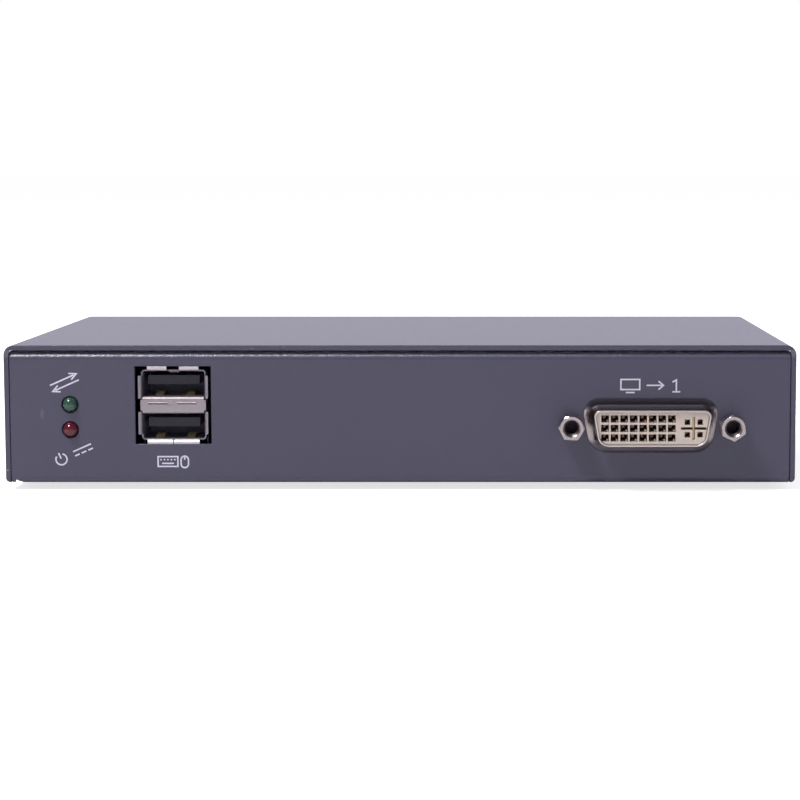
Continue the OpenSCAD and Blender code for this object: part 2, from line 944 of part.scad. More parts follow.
// Every contact of the video socket, made thicker by grow where it cuts its channel
module dvi_contact_set(grow) {
    tip = hood_reach - dvi_face_sink - contact_sink;
    t = contact_t + 2 * grow;
    for (row = [0:2])
        for (column = [0:contact_columns - 1])
            bent_contact(contact_x(column), contact_y(row), t, t, tip, dvi_tail(row), dvi_low);
    for (side = [-1, 1])
        for (row = [0, 2])
            bent_contact(
                analog_x + side * analog_spacing / 2,
                sign(1 - row) * analog_spacing / 2,
                t, t, tip, dvi_tail(row), dvi_low
            );
}

// Cross-shaped shape that its slot and its blade share
module cross_shape(w, h, t) {
    square([w, t], center = true);
    square([t, h], center = true);
}

module dvi_insulator() {
    face = hood_reach - dvi_face_sink;
    color("#cfb9b4")
        on_front(dvi_x, dvi_z) {
            difference() {
                union() {
                    translate([0, 0, dvi_back])
                        linear_extrude(face - dvi_back)
                            outline(hood_sides, hood_radii, -hood_t - fit_gap);
                    translate([-dvi_block_w / 2, -dvi_block_h / 2, dvi_back - dvi_block_l])
                        cube([dvi_block_w, dvi_block_h, dvi_block_l]);
                }
                for (row = [0:2])
                    for (column = [0:contact_columns - 1])
                        translate([
                            contact_x(column) - contact_hole_w / 2,
                            contact_y(row) - contact_hole_h / 2,
                            face - contact_hole_l
                        ])
                            cube([contact_hole_w, contact_hole_h, contact_hole_l + cut]);
                for (side = [-1, 1])
                    for (rise = [-1, 1])
                        translate([
                            analog_x + side * analog_spacing / 2 - analog_hole_w / 2,
                            rise * analog_spacing / 2 - analog_hole_w / 2,
                            face - contact_hole_l
                        ])
                            cube([analog_hole_w, analog_hole_w, contact_hole_l + cut]);
                translate([analog_x, 0, face - contact_hole_l])
                    linear_extrude(contact_hole_l + cut)
                        cross_shape(cross_w, cross_h, cross_slot);
                dvi_contact_set(fit_gap);
                bent_contact(
                    analog_x, 0, contact_t + 2 * fit_gap, contact_t + 2 * fit_gap,
                    face - contact_hole_l + cut, dvi_tail(1), dvi_low
                );
            }
            for (row = [0:2])
                for (column = [0:contact_columns - 1])
                    translate([
                        contact_x(column) + contact_peg_side,
                        contact_y(row) - contact_peg_side - contact_peg_w,
                        face - contact_hole_l - cut
                    ])
                        cube([contact_peg_w, contact_peg_w, contact_hole_l + cut - contact_peg_sink]);
        }
}

module dvi_contacts() {
    color("#c2a15e")
        on_front(dvi_x, dvi_z)
            dvi_contact_set(0);
}

module dvi_cross_blade() {
    face = hood_reach - dvi_face_sink;
    color("#c7b27a")
        on_front(dvi_x, dvi_z) {
            translate([analog_x, 0, face - contact_hole_l]) {
                linear_extrude(contact_hole_l - contact_sink)
                    square([cross_w - cross_t, cross_t], center = true);
                linear_extrude(contact_hole_l - cross_upright_sink)
                    square([cross_t, cross_h - cross_t], center = true);
            }
            bent_contact(
                analog_x, 0, contact_t, contact_t, face - contact_hole_l, dvi_tail(1), dvi_low
            );
        }
}

// Folded cover over the socket's block and its tails, with two legs in the board
module dvi_rear_shield() {
    inner_w = dvi_block_w + 2 * shield_gap;
    inner_top = dvi_block_h / 2 + shield_gap;
    back = shield_back - shield_t;
    color("#a8a4a2")
        on_front(dvi_x, dvi_z) {
            difference() {
                translate([-inner_w / 2 - shield_t, -dvi_block_h / 2, back])
                    cube([inner_w + 2 * shield_t, inner_top + shield_t + dvi_block_h / 2, dvi_back - back]);
                translate([-inner_w / 2, -dvi_block_h / 2 - cut, shield_back])
                    cube([inner_w, inner_top + dvi_block_h / 2 + cut, dvi_back - shield_back + cut]);
            }
            for (side = [-1, 1])
                translate([side * shield_leg_x - shield_t / 2, dvi_low, shield_leg_z - shield_leg_w / 2])
                    cube([shield_t, -dvi_block_h / 2 - dvi_low, shield_leg_w]);
        }
}

module dvi_nuts() {
    color("#b9b4ae")
        for (side = [-1, 1])
            on_front(dvi_x + side * jack_spacing / 2, dvi_z)
                translate([0, 0, dvi_back - dvi_nut_t])
                    difference() {
                        cylinder(h = dvi_nut_t, d = dvi_nut_af / cos(30), $fn = 6);
                        translate([0, 0, -cut])
                            cylinder(h = dvi_nut_t + 2 * cut, r = jack_bore_r + fit_gap);
                    }
}

// Hexagon posts that the cable's two screws go into
module dvi_jackscrews() {
    tip_r = hex_af / 2 / cos(30);
    color("#b0a6a8")
        for (i = [0, 1])
            on_front(dvi_x + (2 * i - 1) * jack_spacing / 2, dvi_z)
                difference() {
                    union() {
                        intersection() {
                            rotate(jack_turns[i])
                                cylinder(h = hex_reach, r = tip_r, $fn = 6);
                            union() {
                                cylinder(h = hex_reach - jack_bevel, r = tip_r + fit_gap);
                                translate([0, 0, hex_reach - jack_bevel])
                                    cylinder(h = jack_bevel, r1 = tip_r + fit_gap, r2 = tip_r - jack_bevel);
                            }
                        }
                        translate([0, 0, dvi_back - dvi_nut_t])
                            cylinder(h = dvi_nut_t - dvi_back, r = jack_bore_r);
                    }
                    translate([0, 0, hex_reach - jack_bore_l])
                        cylinder(h = jack_bore_l + cut, r = jack_bore_r);
                    translate([0, 0, hex_reach - jack_bevel])
                        cylinder(h = jack_bevel, r1 = jack_bore_r, r2 = jack_bore_r + jack_bevel);
                }
}

// Keyboard and mouse sockets

// Middle heights of the two openings
port_ys = [port_pitch / 2, -port_pitch / 2];

// Lip curled out of the shell's front edge: reach in +x, length l along y
module shell_lip(reach, l) {
    translate([0, l / 2, 0])
        rotate([90, 0, 0])
            linear_extrude(l) {
                translate([-shell_t, shell_front - shell_t])
                    square([shell_t, top_lip - reach + shell_t]);
                translate([reach, -reach - shell_t])
                    quarter_ring(reach, reach + shell_t, 90);
            }
}

// The four sides of a lip's place: angle it faces, distance out, place along, reach and length
shell_lips = concat(
    [
        for (facing = [0, 180])
            for (up = [-1, 1])
                [facing, shell_w / 2, up * (port_pitch / 2 - side_lip_shift), side_lip, side_lip_l]
    ],
    [for (along = [-1, 1]) [90, shell_h / 2, along * top_lip_x, top_lip, top_lip_l]],
    [
        for (along = [-1, 1])
            [270, shell_h / 2, along * (low_lip_l + low_lip_gap) / 2, low_lip, low_lip_l]
    ]
);

module usb_shell() {
    color("#a9a3aa")
        on_front(usb_x, usb_z) {
            difference() {
                translate([0, 0, -shell_depth])
                    linear_extrude(shell_depth + shell_front)
                        outline(box_sides(shell_w, shell_h), four(shell_r));
                translate([0, 0, -shell_depth + shell_t])
                    linear_extrude(shell_depth + shell_front)
                        outline(box_sides(shell_w, shell_h), four(shell_r), -shell_t);
                translate([-tongue_w / 2, -shell_h / 2 - cut, -shell_depth - cut])
                    cube([tongue_w, shell_t + 2 * cut, shell_depth + usb_block_front + cut]);
            }
            for (lip = shell_lips)
                rotate(lip[0])
                    translate([lip[1], (lip[0] < 180 ? 1 : -1) * lip[2], 0])
                        shell_lip(lip[3], lip[4]);
            for (side = [-1, 1])
                for (z = usb_leg_places)
                    translate([
                        side * (shell_w - shell_t) / 2 - shell_t / 2,
                        -shell_h / 2 - usb_lift - board_t - tail_reach,
                        z - shield_leg_w / 2
                    ])
                        cube([shell_t, usb_lift + board_t + tail_reach + shell_r, shield_leg_w]);
        }
}

// Folded plate between the two openings
module usb_bridge() {
    color("#9d949c")
        on_front(usb_x, usb_z)
            difference() {
                union() {
                    across(port_w - 2 * fit_gap)
                        difference() {
                            translate([-bridge_l / 2, 0])
                                outline(box_sides(bridge_l, bridge_h), four(bridge_r));
                            translate([-bridge_l / 2, 0])
                                outline(box_sides(bridge_l, bridge_h), four(bridge_r), -shell_t);
                            translate([-bridge_l - cut, -bridge_h / 2 - cut])
                                square([bridge_r + cut, bridge_h + 2 * cut]);
                        }
                    translate([0, 0, -shell_t / 2])
                        cube([bridge_w, bridge_h - 2 * bridge_r, shell_t], center = true);
                    for (x = bridge_slot_xs)
                        translate([
                            x - bridge_slot_l / 2,
                            bridge_slot_y + (bridge_slot_h + bridge_rib_r) / 2,
                            bridge_rib_rise - bridge_rib_r
                        ])
                            rotate([0, 90, 0])
                                cylinder(h = bridge_slot_l, r = bridge_rib_r);
                }
                for (x = bridge_slot_xs)
                    translate([x, bridge_slot_y, 0])
                        cube([bridge_slot_l, bridge_slot_h, 3 * shell_t], center = true);
                translate([-bridge_dimple_x, 0, -shell_t / 2])
                    cylinder(h = shell_t, r = bridge_dimple_r);
            }
}

// Every contact strip of both openings, thicker by grow where it cuts its channel
module usb_strip_set(grow) {
    for (i = [0, 1])
        for (x = usb_strip_xs)
            bent_contact(
                x,
                port_ys[i] + port_h / 2 - tongue_drop - tongue_t + usb_strip_t / 2 - usb_strip_rise,
                usb_strip_w + 2 * grow,
                usb_strip_t + 2 * grow,
                usb_strip_front,
                usb_tails[1 - i],
                -shell_h / 2 - usb_lift - board_t - tail_reach
            );
}

// Black moulding with a tongue in each opening
module usb_housing() {
    block_w = port_w - 2 * fit_gap;
    block_h = shell_h - 2 * shell_t - 2 * fit_gap;
    block_l = shell_depth - shell_t - fit_gap + usb_block_front;
    color("#16161c")
        on_front(usb_x, usb_z)
            difference() {
                union() {
                    translate([0, 0, usb_block_front - block_l])
                        linear_extrude(block_l)
                            outline(box_sides(block_w, block_h), four(shell_r - shell_t - fit_gap));
                    translate([
                        -tongue_w / 2 + fit_gap,
                        -shell_h / 2 - usb_lift,
                        usb_block_front - block_l
                    ])
                        cube([tongue_w - 2 * fit_gap, usb_lift + shell_t + 2 * fit_gap, block_l - fit_gap]);
                    for (y = port_ys)
                        translate([
                            -tongue_w / 2,
                            y + port_h / 2 - tongue_drop - tongue_t,
                            usb_block_front
                        ])
                            cube([tongue_w, tongue_t, tongue_front - usb_block_front]);
                }
                usb_strip_set(fit_gap);
            }
}

module usb_contacts() {
    color("#c9a860")
        on_front(usb_x, usb_z)
            usb_strip_set(0);
}

// Bowed fingers that press on the plugs, two on each opening's floor, and one at the top edge
module usb_fingers() {
    color("#b59a62")
        on_front(usb_x, usb_z) {
            for (y = port_ys)
                for (side = [-1, 1])
                    translate([side * finger_x, y - port_h / 2, finger_z])
                        across(finger_w)
                            bow(finger_l, finger_rise, finger_t);
            translate([0, port_pitch / 2 + port_h / 2, finger_z / 2])
                mirror([0, 1, 0])
                    across(spring_tab_l)
                        bow(finger_l / 2, tongue_drop / 2, finger_t);
        }
}

// Lights

// One light: barrel, dome and the collar at its back
module light() {
    translate([0, 0, led_back])
        cylinder(h = led_reach - led_d / 2 - led_back, d = led_d);
    translate([0, 0, led_reach - led_d / 2])
        sphere(d = led_d);
    translate([0, 0, led_back])
        cylinder(h = led_collar_t, r = led_collar_r);
}

module link_light() {
    color("#3f6a57")
        on_front(led_x, led_zs[1])
            light();
}

module power_light() {
    color("#7a2430")
        on_front(led_x, led_zs[0])
            light();
}

module light_leads() {
    low = [for (z = led_zs) board_low - tail_reach - z];
    color("#b9b4ae")
        for (i = [0, 1])
            on_front(led_x, led_zs[i])
                for (side = [-1, 1])
                    bent_contact(side * lead_x, 0, lead_t, lead_t, led_back, lead_tails[i], low[i]);
}

module light_holder() {
    h = led_lift + led_pitch + led_d / 2 + holder_roof;
    color("#18181c")
        difference() {
            on_front(led_x, board_top)
                translate([-holder_w / 2, 0, holder_front - holder_l])
                    cube([holder_w, h, holder_l]);
            for (z = led_zs)
                on_front(led_x, z) {
                    translate([0, 0, holder_front - holder_l - cut])
                        cylinder(h = holder_l + 2 * cut, r = led_d / 2 + fit_gap);
                    translate([0, 0, holder_front - holder_l - cut])
                        cylinder(
                            h = led_back + led_collar_t + fit_gap - holder_front + holder_l + cut,
                            r = led_collar_r + fit_gap
                        );
                }
        }
}

// Fibre module and its cage

// Sheet cage on the board, open at the back panel
module fibre_cage() {
    sides = box_sides(cage_w, cage_h);
    color("#b4b0ae")
        on_rear(sfp_x, sfp_z) {
            difference() {
                translate([0, 0, cage_out - cage_l])
                    linear_extrude(cage_l)
                        outline(sides, four(cage_r));
                translate([0, 0, cage_out - cage_l + cage_t])
                    linear_extrude(cage_l)
                        outline(sides, four(cage_r), -cage_t);
                translate([-latch_window_w / 2, -cage_h / 2 - cut, tongue_root])
                    cube([latch_window_w, cage_t + 2 * cut, cage_out - tongue_root + cut]);
                translate([-host_w / 2 - fit_gap, -cage_h / 2 - cut, cage_out - cage_l - cut])
                    cube([
                        host_w + 2 * fit_gap,
                        cage_t + 2 * cut,
                        host_front + fit_gap + cage_l - cage_out + cut
                    ]);
            }
            for (side = [-1, 1])
                for (z = cage_leg_places)
                    translate([
                        side * (cage_w - cage_t) / 2 - cage_t / 2,
                        -cage_h / 2 - cage_leg_l,
                        z - cage_leg_w / 2
                    ])
                        cube([cage_t, cage_leg_l + cage_r, cage_leg_w]);
        }
}

// Springy strip of the cage's floor, with the hole that the module's boss drops into
module cage_latch_spring() {
    hole_w = boss_w + 2 * boss_hole_gap;
    hole_l = boss_l + 2 * boss_hole_gap;
    color("#bdb9b6")
        on_rear(sfp_x, sfp_z)
            difference() {
                translate([-latch_strip_w / 2, -cage_h / 2, tongue_root])
                    cube([latch_strip_w, cage_t, cage_out - tongue_root]);
                translate([-hole_w / 2, -cage_h / 2 - cut, boss_z - boss_l - boss_hole_gap])
                    cube([hole_w, cage_t + 2 * cut, hole_l]);
            }
}

// Flared collar of fingers between the cage and the back panel
module cage_gasket() {
    sides = box_sides(cage_w, cage_h);
    color("#bdb9b6")
        on_rear(sfp_x, sfp_z)
            difference() {
                drawn_wall(sides, four(cage_r)) {
                    translate([fit_gap, -sheet_t - collar_l])
                        square([collar_t, collar_l - collar_flare - collar_t]);
                    translate([fit_gap + collar_t + collar_flare, -sheet_t - collar_flare - collar_t])
                        quarter_ring(collar_flare, collar_flare + collar_t, 90);
                }
                translate([-latch_window_w / 2 - cut, -cage_h, -sheet_t - collar_l - cut])
                    cube([latch_window_w + 2 * cut, cage_h / 2 + cut, collar_l + 2 * cut]);
                for (i = [-2:2])
                    translate([i * cage_w / 6 - collar_slot / 2, 0, -sheet_t - collar_l + collar_slot])
                        cube([collar_slot, cage_h, collar_l]);
                for (i = [-1:1])
                    translate([-cage_w, i * cage_h / 4 - collar_slot / 2, -sheet_t - collar_l + collar_slot])
                        cube([2 * cage_w, collar_slot, collar_l]);
            }
}

// Socket inside the cage that takes the edge of the module's board
module host_connector() {
    color("#1a1a1e")
        on_rear(sfp_x, sfp_z)
            difference() {
                translate([-host_w / 2, -cage_h / 2, host_front - host_l])
                    cube([host_w, host_h, host_l]);
                translate([-host_slot_w / 2, card_y - host_slot_h / 2, host_front - card_in - fit_gap])
                    cube([host_slot_w, host_slot_h, card_in + fit_gap + cut]);
            }
}

// Channel along the underside of the module for the rocker
module rocker_channel() {
    translate([-channel_w / 2, nose_low - cut, channel_back])
        cube([channel_w, channel_top - nose_low + cut, nose_reach - channel_back + cut]);
}

module module_body() {
    color("#a5a3a4")
        on_rear(sfp_x, sfp_z)
            difference() {
                translate([-module_w / 2, -module_h / 2, body_end])
                    cube([module_w, module_h, module_front - body_end]);
                translate([-module_w / 2 + module_wall, -module_h / 2 + module_wall, body_end - cut])
                    cube([
                        module_w - 2 * module_wall,
                        module_h - 2 * module_wall,
                        cavity_front - body_end + cut
                    ]);
                rocker_channel();
                for (side = [-1, 1])
                    translate([side * fibre_pitch / 2, port_y, cavity_front - cut])
                        cylinder(h = module_front - cavity_front + 2 * cut, r = sleeve_r + fit_gap);
            }
}

// End piece of the module with its two fibre ports
module module_nose() {
    color("#8f8d90")
        on_rear(sfp_x, sfp_z)
            difference() {
                translate([-module_w / 2, nose_low, module_front])
                    cube([module_w, nose_top - nose_low, nose_reach - module_front]);
                for (side = [-1, 1]) {
                    translate([
                        side * fibre_pitch / 2 - fibre_port / 2,
                        port_low,
                        nose_reach - port_deep
                    ])
                        cube([fibre_port, fibre_port, port_deep + cut]);
                    translate([
                        side * fibre_pitch / 2 - key_w / 2,
                        port_low + fibre_port - cut,
                        nose_reach - port_deep
                    ])
                        cube([key_w, key_h + cut, port_deep + cut]);
                    translate([side * fibre_pitch / 2, port_y, module_front - cut])
                        cylinder(h = nose_reach - port_deep - module_front + 2 * cut, r = sleeve_r + fit_gap);
                }
                rocker_channel();
                translate([-module_w / 2 - cut, bail_pin_y, bail_z])
                    rotate([0, 90, 0])
                        cylinder(h = module_w + 2 * cut, r = bail_pin_r + fit_gap);
                translate([
                    -channel_w / 2 - rocker_pin_l - fit_gap,
                    rocker_low + rocker_t / 2,
                    rocker_pin_z
                ])
                    rotate([0, 90, 0])
                        cylinder(h = channel_w + 2 * (rocker_pin_l + fit_gap), r = rocker_pin_r + fit_gap);
            }
}

// Tubes in the ports that line up the fibres
module module_sleeves() {
    color("#dcdad4")
        on_rear(sfp_x, sfp_z)
            for (side = [-1, 1])
                translate([side * fibre_pitch / 2, port_y, cavity_front])
                    difference() {
                        cylinder(h = nose_reach - port_deep + sleeve_out - cavity_front, r = sleeve_r);
                        translate([0, 0, -cut])
                            cylinder(
                                h = nose_reach - port_deep + sleeve_out - cavity_front + 2 * cut,
                                r = sleeve_bore_r
                            );
                    }
}

// Laser and receiver cans behind the two tubes
module module_optics() {
    color("#c9b27a")
        on_rear(sfp_x, sfp_z)
            for (side = [-1, 1])
                translate([side * fibre_pitch / 2, port_y, cavity_front - can_l])
                    cylinder(h = can_l, r = can_r);
}

module module_board() {
    color("#23613f")
        on_rear(sfp_x, sfp_z)
            translate([-card_w / 2, card_y - card_t / 2, host_front - card_in])
                cube([card_w, card_t, card_front - host_front + card_in]);
}

// Wire bail that turns about its pin under the ports, with a cam lobe over the rocker
module module_bail() {
    leg_x = module_w / 2 + bail_gap + bail_r;
    color("#b8b5b3")
        on_rear(sfp_x, sfp_z)
            translate([0, bail_pin_y, bail_z]) {
                rotate([0, 90, 0])
                    translate([0, 0, -leg_x])
                        cylinder(h = 2 * leg_x, r = bail_pin_r);
                for (side = [0, 1])
                    mirror([side, 0, 0]) {
                        translate([leg_x, 0, 0])
                            sphere(r = bail_r);
                        translate([leg_x, 0, 0])
                            rotate([-90, 0, 0])
                                cylinder(h = bail_reach - bail_corner_r, r = bail_r);
                        translate([leg_x - bail_corner_r, bail_reach - bail_corner_r, 0])
                            rotate_extrude(angle = 90)
                                translate([bail_corner_r, 0])
                                    circle(bail_r);
                    }
                translate([-leg_x + bail_corner_r, bail_reach, 0])
                    rotate([0, 90, 0])
                        cylinder(h = 2 * (leg_x - bail_corner_r), r = bail_r);
                translate([-lobe_w / 2, 0, lobe_reach])
                    rotate([0, 90, 0])
                        cylinder(h = lobe_w, r = lobe_r);
                translate([-lobe_w / 2, -lobe_r, 0])
                    cube([lobe_w, 2 * lobe_r, lobe_reach]);
            }
}

// Rocker under the module: the bail's lobe presses its outer end and lifts its boss
module module_rocker() {
    color("#a9a6a4")
        on_rear(sfp_x, sfp_z) {
            translate([-rocker_w / 2, rocker_low, rocker_back])
                cube([rocker_w, rocker_t, rocker_front - rocker_back]);
            translate([
                -channel_w / 2 - rocker_pin_l,
                rocker_low + rocker_t / 2,
                rocker_pin_z
            ])
                rotate([0, 90, 0])
                    cylinder(h = channel_w + 2 * rocker_pin_l, r = rocker_pin_r);
            across(boss_w)
                polygon([
                    [boss_z, rocker_low],
                    [boss_z, rocker_low - boss_drop],
                    [boss_z - boss_l / 3, rocker_low - boss_drop],
                    [boss_z - boss_l, rocker_low]
                ]);
        }
}

// Power inlet

module power_inlet() {
    color("#141418")
        on_rear(inlet_x, inlet_z)
            difference() {
                union() {
                    translate([-inlet_w / 2, -inlet_lift, -sheet_t - inlet_l])
                        cube([inlet_w, inlet_lift + inlet_head, inlet_l]);
                    translate([0, 0, -sheet_t])
                        cylinder(h = sheet_t, r = inlet_snout_r);
                }
                translate([0, 0, -inlet_bore_l])
                    cylinder(h = inlet_bore_l + cut, r = inlet_bore_r);
            }
}

module inlet_pin() {
    color("#c8c4bc")
        on_rear(inlet_x, inlet_z) {
            translate([0, 0, -inlet_bore_l])
                cylinder(h = inlet_bore_l - inlet_pin_sink - inlet_pin_r, r = inlet_pin_r);
            translate([0, 0, -inlet_pin_sink - inlet_pin_r])
                sphere(r = inlet_pin_r);
        }
}

// Leaf at the bottom of the hole that presses on the plug's sleeve
module inlet_spring() {
    color("#c2a15e")
        on_rear(inlet_x, inlet_z)
            intersection() {
                translate([0, -inlet_bore_r + fit_gap, -inlet_bore_l + inlet_leaf_l / 2 + inlet_pin_r])
                    across(inlet_leaf_w)
                        bow(inlet_leaf_l, inlet_leaf_rise + inlet_tab_t / 2, inlet_tab_t / 2);
                translate([0, 0, -inlet_bore_l])
                    cylinder(h = inlet_bore_l, r = inlet_bore_r - fit_gap);
            }
}

module inlet_terminals() {
    color("#b9b4ae")
        on_rear(inlet_x, inlet_z)
            for (z = inlet_tab_places)
                translate([-inlet_tab_w / 2, -inlet_lift - board_t - tail_reach, z - inlet_tab_t / 2])
                    cube([inlet_tab_w, board_t + tail_reach, inlet_tab_t]);
}

// Parts on the board

module slab(w, d, h) {
    translate([-w / 2, -d / 2, 0])
        cube([w, d, h]);
}

module processor_chip() {
    color("#23232a")
        on_board(processor_shares) {
            slab(processor_w, processor_w, processor_t - pad_t);
            translate([0, 0, processor_t - pad_t])
                slab(processor_w - 2 * pad_t, processor_w - 2 * pad_t, pad_t);
        }
}

module thermal_pad() {
    color("#8b8fa3")
        on_board(processor_shares)
            translate([0, 0, processor_t])
                slab(processor_w - 2 * sink_fin_t, processor_w - 2 * sink_fin_t, pad_t);
}

module heat_sink() {
    fin_pitch = (sink_w - sink_fin_t) / (sink_fins - 1);
    color("#33333b")
        on_board(processor_shares)
            translate([0, 0, processor_t + pad_t]) {
                slab(sink_w, sink_w, sink_base_t);
                for (i = [0:sink_fins - 1])
                    translate([i * fin_pitch - (sink_w - sink_fin_t) / 2, 0, sink_base_t])
                        slab(sink_fin_t, sink_w, sink_h);
            }
}

module memory_chips() {
    color("#202026")
        for (shares = memory_shares)
            on_board(shares)
                slab(memory_size.x, memory_size.y, memory_size.z);
}

// Flat chip with gull-wing leads on its four sides
module video_chip() {
    color("#202026")
        on_board(video_shares) {
            translate([0, 0, chip_lift])
                slab(video_w, video_w, video_t);
            for (turn = [0:90:270])
                rotate(turn)
                    for (i = [0:video_leads - 1])
                        translate([
                            video_w / 2,
                            (i - (video_leads - 1) / 2) * lead_pitch - chip_lead_w / 2,
                            0
                        ]) {
                            translate([0, 0, video_t / 2])
                                cube([chip_lead_l / 2, chip_lead_w, chip_lead_t]);
                            translate([chip_lead_l / 2 - chip_lead_t, 0, 0])
                                cube([chip_lead_t, chip_lead_w, video_t / 2]);
                            translate([chip_lead_l / 2, 0, 0])
                                cube([chip_lead_l / 2, chip_lead_w, chip_lead_t]);
                        }
        }
}

module hub_chip() {
    color("#202026")
        on_board(hub_shares)
            slab(hub_w, hub_w, hub_t);
}

// Metal cans with rounded ends
module crystals() {
    color("#c3c0bc")
        for (shares = crystal_shares)
            on_board(shares)
                linear_extrude(crystal_h)
                    outline(box_sides(crystal_l, crystal_w), four(crystal_w / 2 - fit_gap));
}

module power_coils() {
    color("#3a3a40")
        for (shares = coil_shares)
            on_board(shares) {
                linear_extrude(coil_h - chip_lift)
                    outline(box_sides(coil_w, coil_w), four(coil_w / 7));
                translate([0, 0, coil_h - chip_lift])
                    cylinder(h = chip_lift, d = coil_w * 4 / 5);
            }
}

module capacitors() {
    color("#b7b9bf")
        for (shares = capacitor_shares)
            on_board(shares)
                translate([0, 0, capacitor_base_h])
                    cylinder(h = capacitor_h - capacitor_base_h, r = capacitor_r);
}

module capacitor_bases() {
    color("#17171b")
        for (shares = capacitor_shares)
            on_board(shares)
                slab(2 * capacitor_r, 2 * capacitor_r, capacitor_base_h);
}

// Flat power parts with a wide tab on one side and three leads on the other
module regulators() {
    color("#202026")
        for (shares = regulator_shares)
            on_board(shares) {
                translate([0, 0, chip_lift])
                    slab(regulator_w, regulator_l, regulator_h);
                translate([0, (regulator_l + chip_lead_l) / 2, 0])
                    slab(regulator_w / 2, chip_lead_l, chip_lift + chip_lead_t);
                for (i = [-1:1])
                    translate([i * regulator_w / 3, -(regulator_l + chip_lead_l) / 2, 0])
                        slab(regulator_w / 8, chip_lead_l, chip_lift + chip_lead_t);
            }
}

chassis();
cover();
cover_screws();
rubber_feet();
standoffs();
main_board();
board_screws();
dvi_hood();
dvi_insulator();
dvi_contacts();
dvi_cross_blade();
dvi_rear_shield();
dvi_nuts();
dvi_jackscrews();
usb_shell();
usb_bridge();
usb_housing();
usb_contacts();
usb_fingers();
link_light();
power_light();
light_leads();
light_holder();
fibre_cage();
cage_latch_spring();
cage_gasket();
host_connector();
module_body();
module_nose();
module_sleeves();
module_optics();
module_board();
module_bail();
module_rocker();
power_inlet();
inlet_pin();
inlet_spring();
inlet_terminals();
processor_chip();
thermal_pad();
heat_sink();
memory_chips();
video_chip();
hub_chip();
crystals();
power_coils();
capacitors();
capacitor_bases();
regulators();
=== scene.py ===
import bpy
import numpy as np
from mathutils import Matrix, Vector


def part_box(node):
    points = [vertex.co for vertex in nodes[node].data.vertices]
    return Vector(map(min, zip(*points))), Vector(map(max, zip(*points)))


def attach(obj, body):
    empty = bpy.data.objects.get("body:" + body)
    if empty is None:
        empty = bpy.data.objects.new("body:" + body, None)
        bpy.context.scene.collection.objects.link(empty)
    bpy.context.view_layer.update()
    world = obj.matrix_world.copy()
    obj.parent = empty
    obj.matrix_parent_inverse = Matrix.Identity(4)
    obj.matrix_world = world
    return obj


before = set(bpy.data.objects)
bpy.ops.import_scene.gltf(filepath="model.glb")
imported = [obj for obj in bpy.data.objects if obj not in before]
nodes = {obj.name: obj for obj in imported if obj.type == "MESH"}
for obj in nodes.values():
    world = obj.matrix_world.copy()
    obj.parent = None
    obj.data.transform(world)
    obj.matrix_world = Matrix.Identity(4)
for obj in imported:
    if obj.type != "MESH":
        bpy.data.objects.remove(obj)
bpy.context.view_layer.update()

# The case is two folded steel sheets, a chassis and a cover, sprayed with powder and baked.
# The powder melts into a fine pebbled skin, dull on the flats and brighter along the front bend.
# It holds a few specks, a scuff and a chip. The seam under the cover is painted pale,
# a painted light that lifts its shade.
MM = 0.001
chassis_low, chassis_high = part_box("chassis")
cover_low, cover_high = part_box("cover")
face_y = chassis_low[1]
sheet_t = 1 * MM
cover_under = cover_high[2] - sheet_t
paint_tones = ("#424054", "#464458")
paint_cloud = 38 * MM
paint_dullness = (0.28, 0.38)
paint_pebble = 0.55 * MM
paint_edge = 0.4 * MM
pebble_rise = 0.05 * MM
bend_rise = 0.2 * MM
bend_low = chassis_high[2] - 1.2 * MM
bend_back = face_y + 3.15 * MM
bend_blend = 0.7 * MM
speck_tone = "#6c6a7a"
speck_spacing = 9 * MM
speck_radii = (0.108 * MM, 0.27 * MM)
speck_strength = 0.7
scuff_tone = "#77747f"
scuff_place = (chassis_low[0] + 6.45 * MM, face_y, chassis_low[2] + 14.1 * MM)
scuff_radius = 1.3 * MM
scuff_shape = (2.2, 1, 0.9)
scuff_grain = 0.5 * MM
scuff_strength = 0.8
chip_tone = "#a9a7b2"
chip_place = (cover_low[0] + 0.4 * MM, face_y + 0.15 * MM, cover_low[2] + 2.45 * MM)
chip_radius = 0.2 * MM
seam_painted_light = "#b4b0c2"
seam_z = (chassis_high[2] + cover_under) / 2
seam_half_h = 0.22 * MM
seam_half_w = chassis_high[0] - 0.05 * MM


def linear(code):
    """A colour written as sRGB hex, turned to linear light: the sRGB curve, undone channel by channel."""
    parts = np.array([int(code[i:i + 2], 16) for i in (1, 3, 5)]) / 255
    light = np.where(parts <= 0.04045, parts / 12.92, ((parts + 0.055) / 1.055) ** 2.4)
    return tuple(light.tolist()) + (1.0,)


def fit(tree, node, settings=None, links=None):
    """Sets a node's sockets (by name or number) or its own properties, and links its inputs."""
    for name, value in (settings or {}).items():
        if isinstance(name, int) or name in node.inputs:
            node.inputs[name].default_value = value
        else:
            setattr(node, name, value)
    for name, output in (links or {}).items():
        tree.links.new(output, node.inputs[name])
    return node


def add(tree, kind, settings=None, links=None):
    """Adds a node with its settings and links."""
    return fit(tree, tree.nodes.new(kind), settings, links)


def start(name):
    """A new material, its tree, its surface shader and its place in the object's own coordinates."""
    material = bpy.data.materials.new(name)
    material.use_nodes = True
    tree = material.node_tree
    place = add(tree, "ShaderNodeTexCoord").outputs["Object"]
    return material, tree, tree.nodes["Principled BSDF"], place


def coat(material, *names):
    """Gives CAD nodes their finish, by their own material slots."""
    for name in names:
        slots = nodes[name].data.materials
        slots.clear()
        slots.append(material)


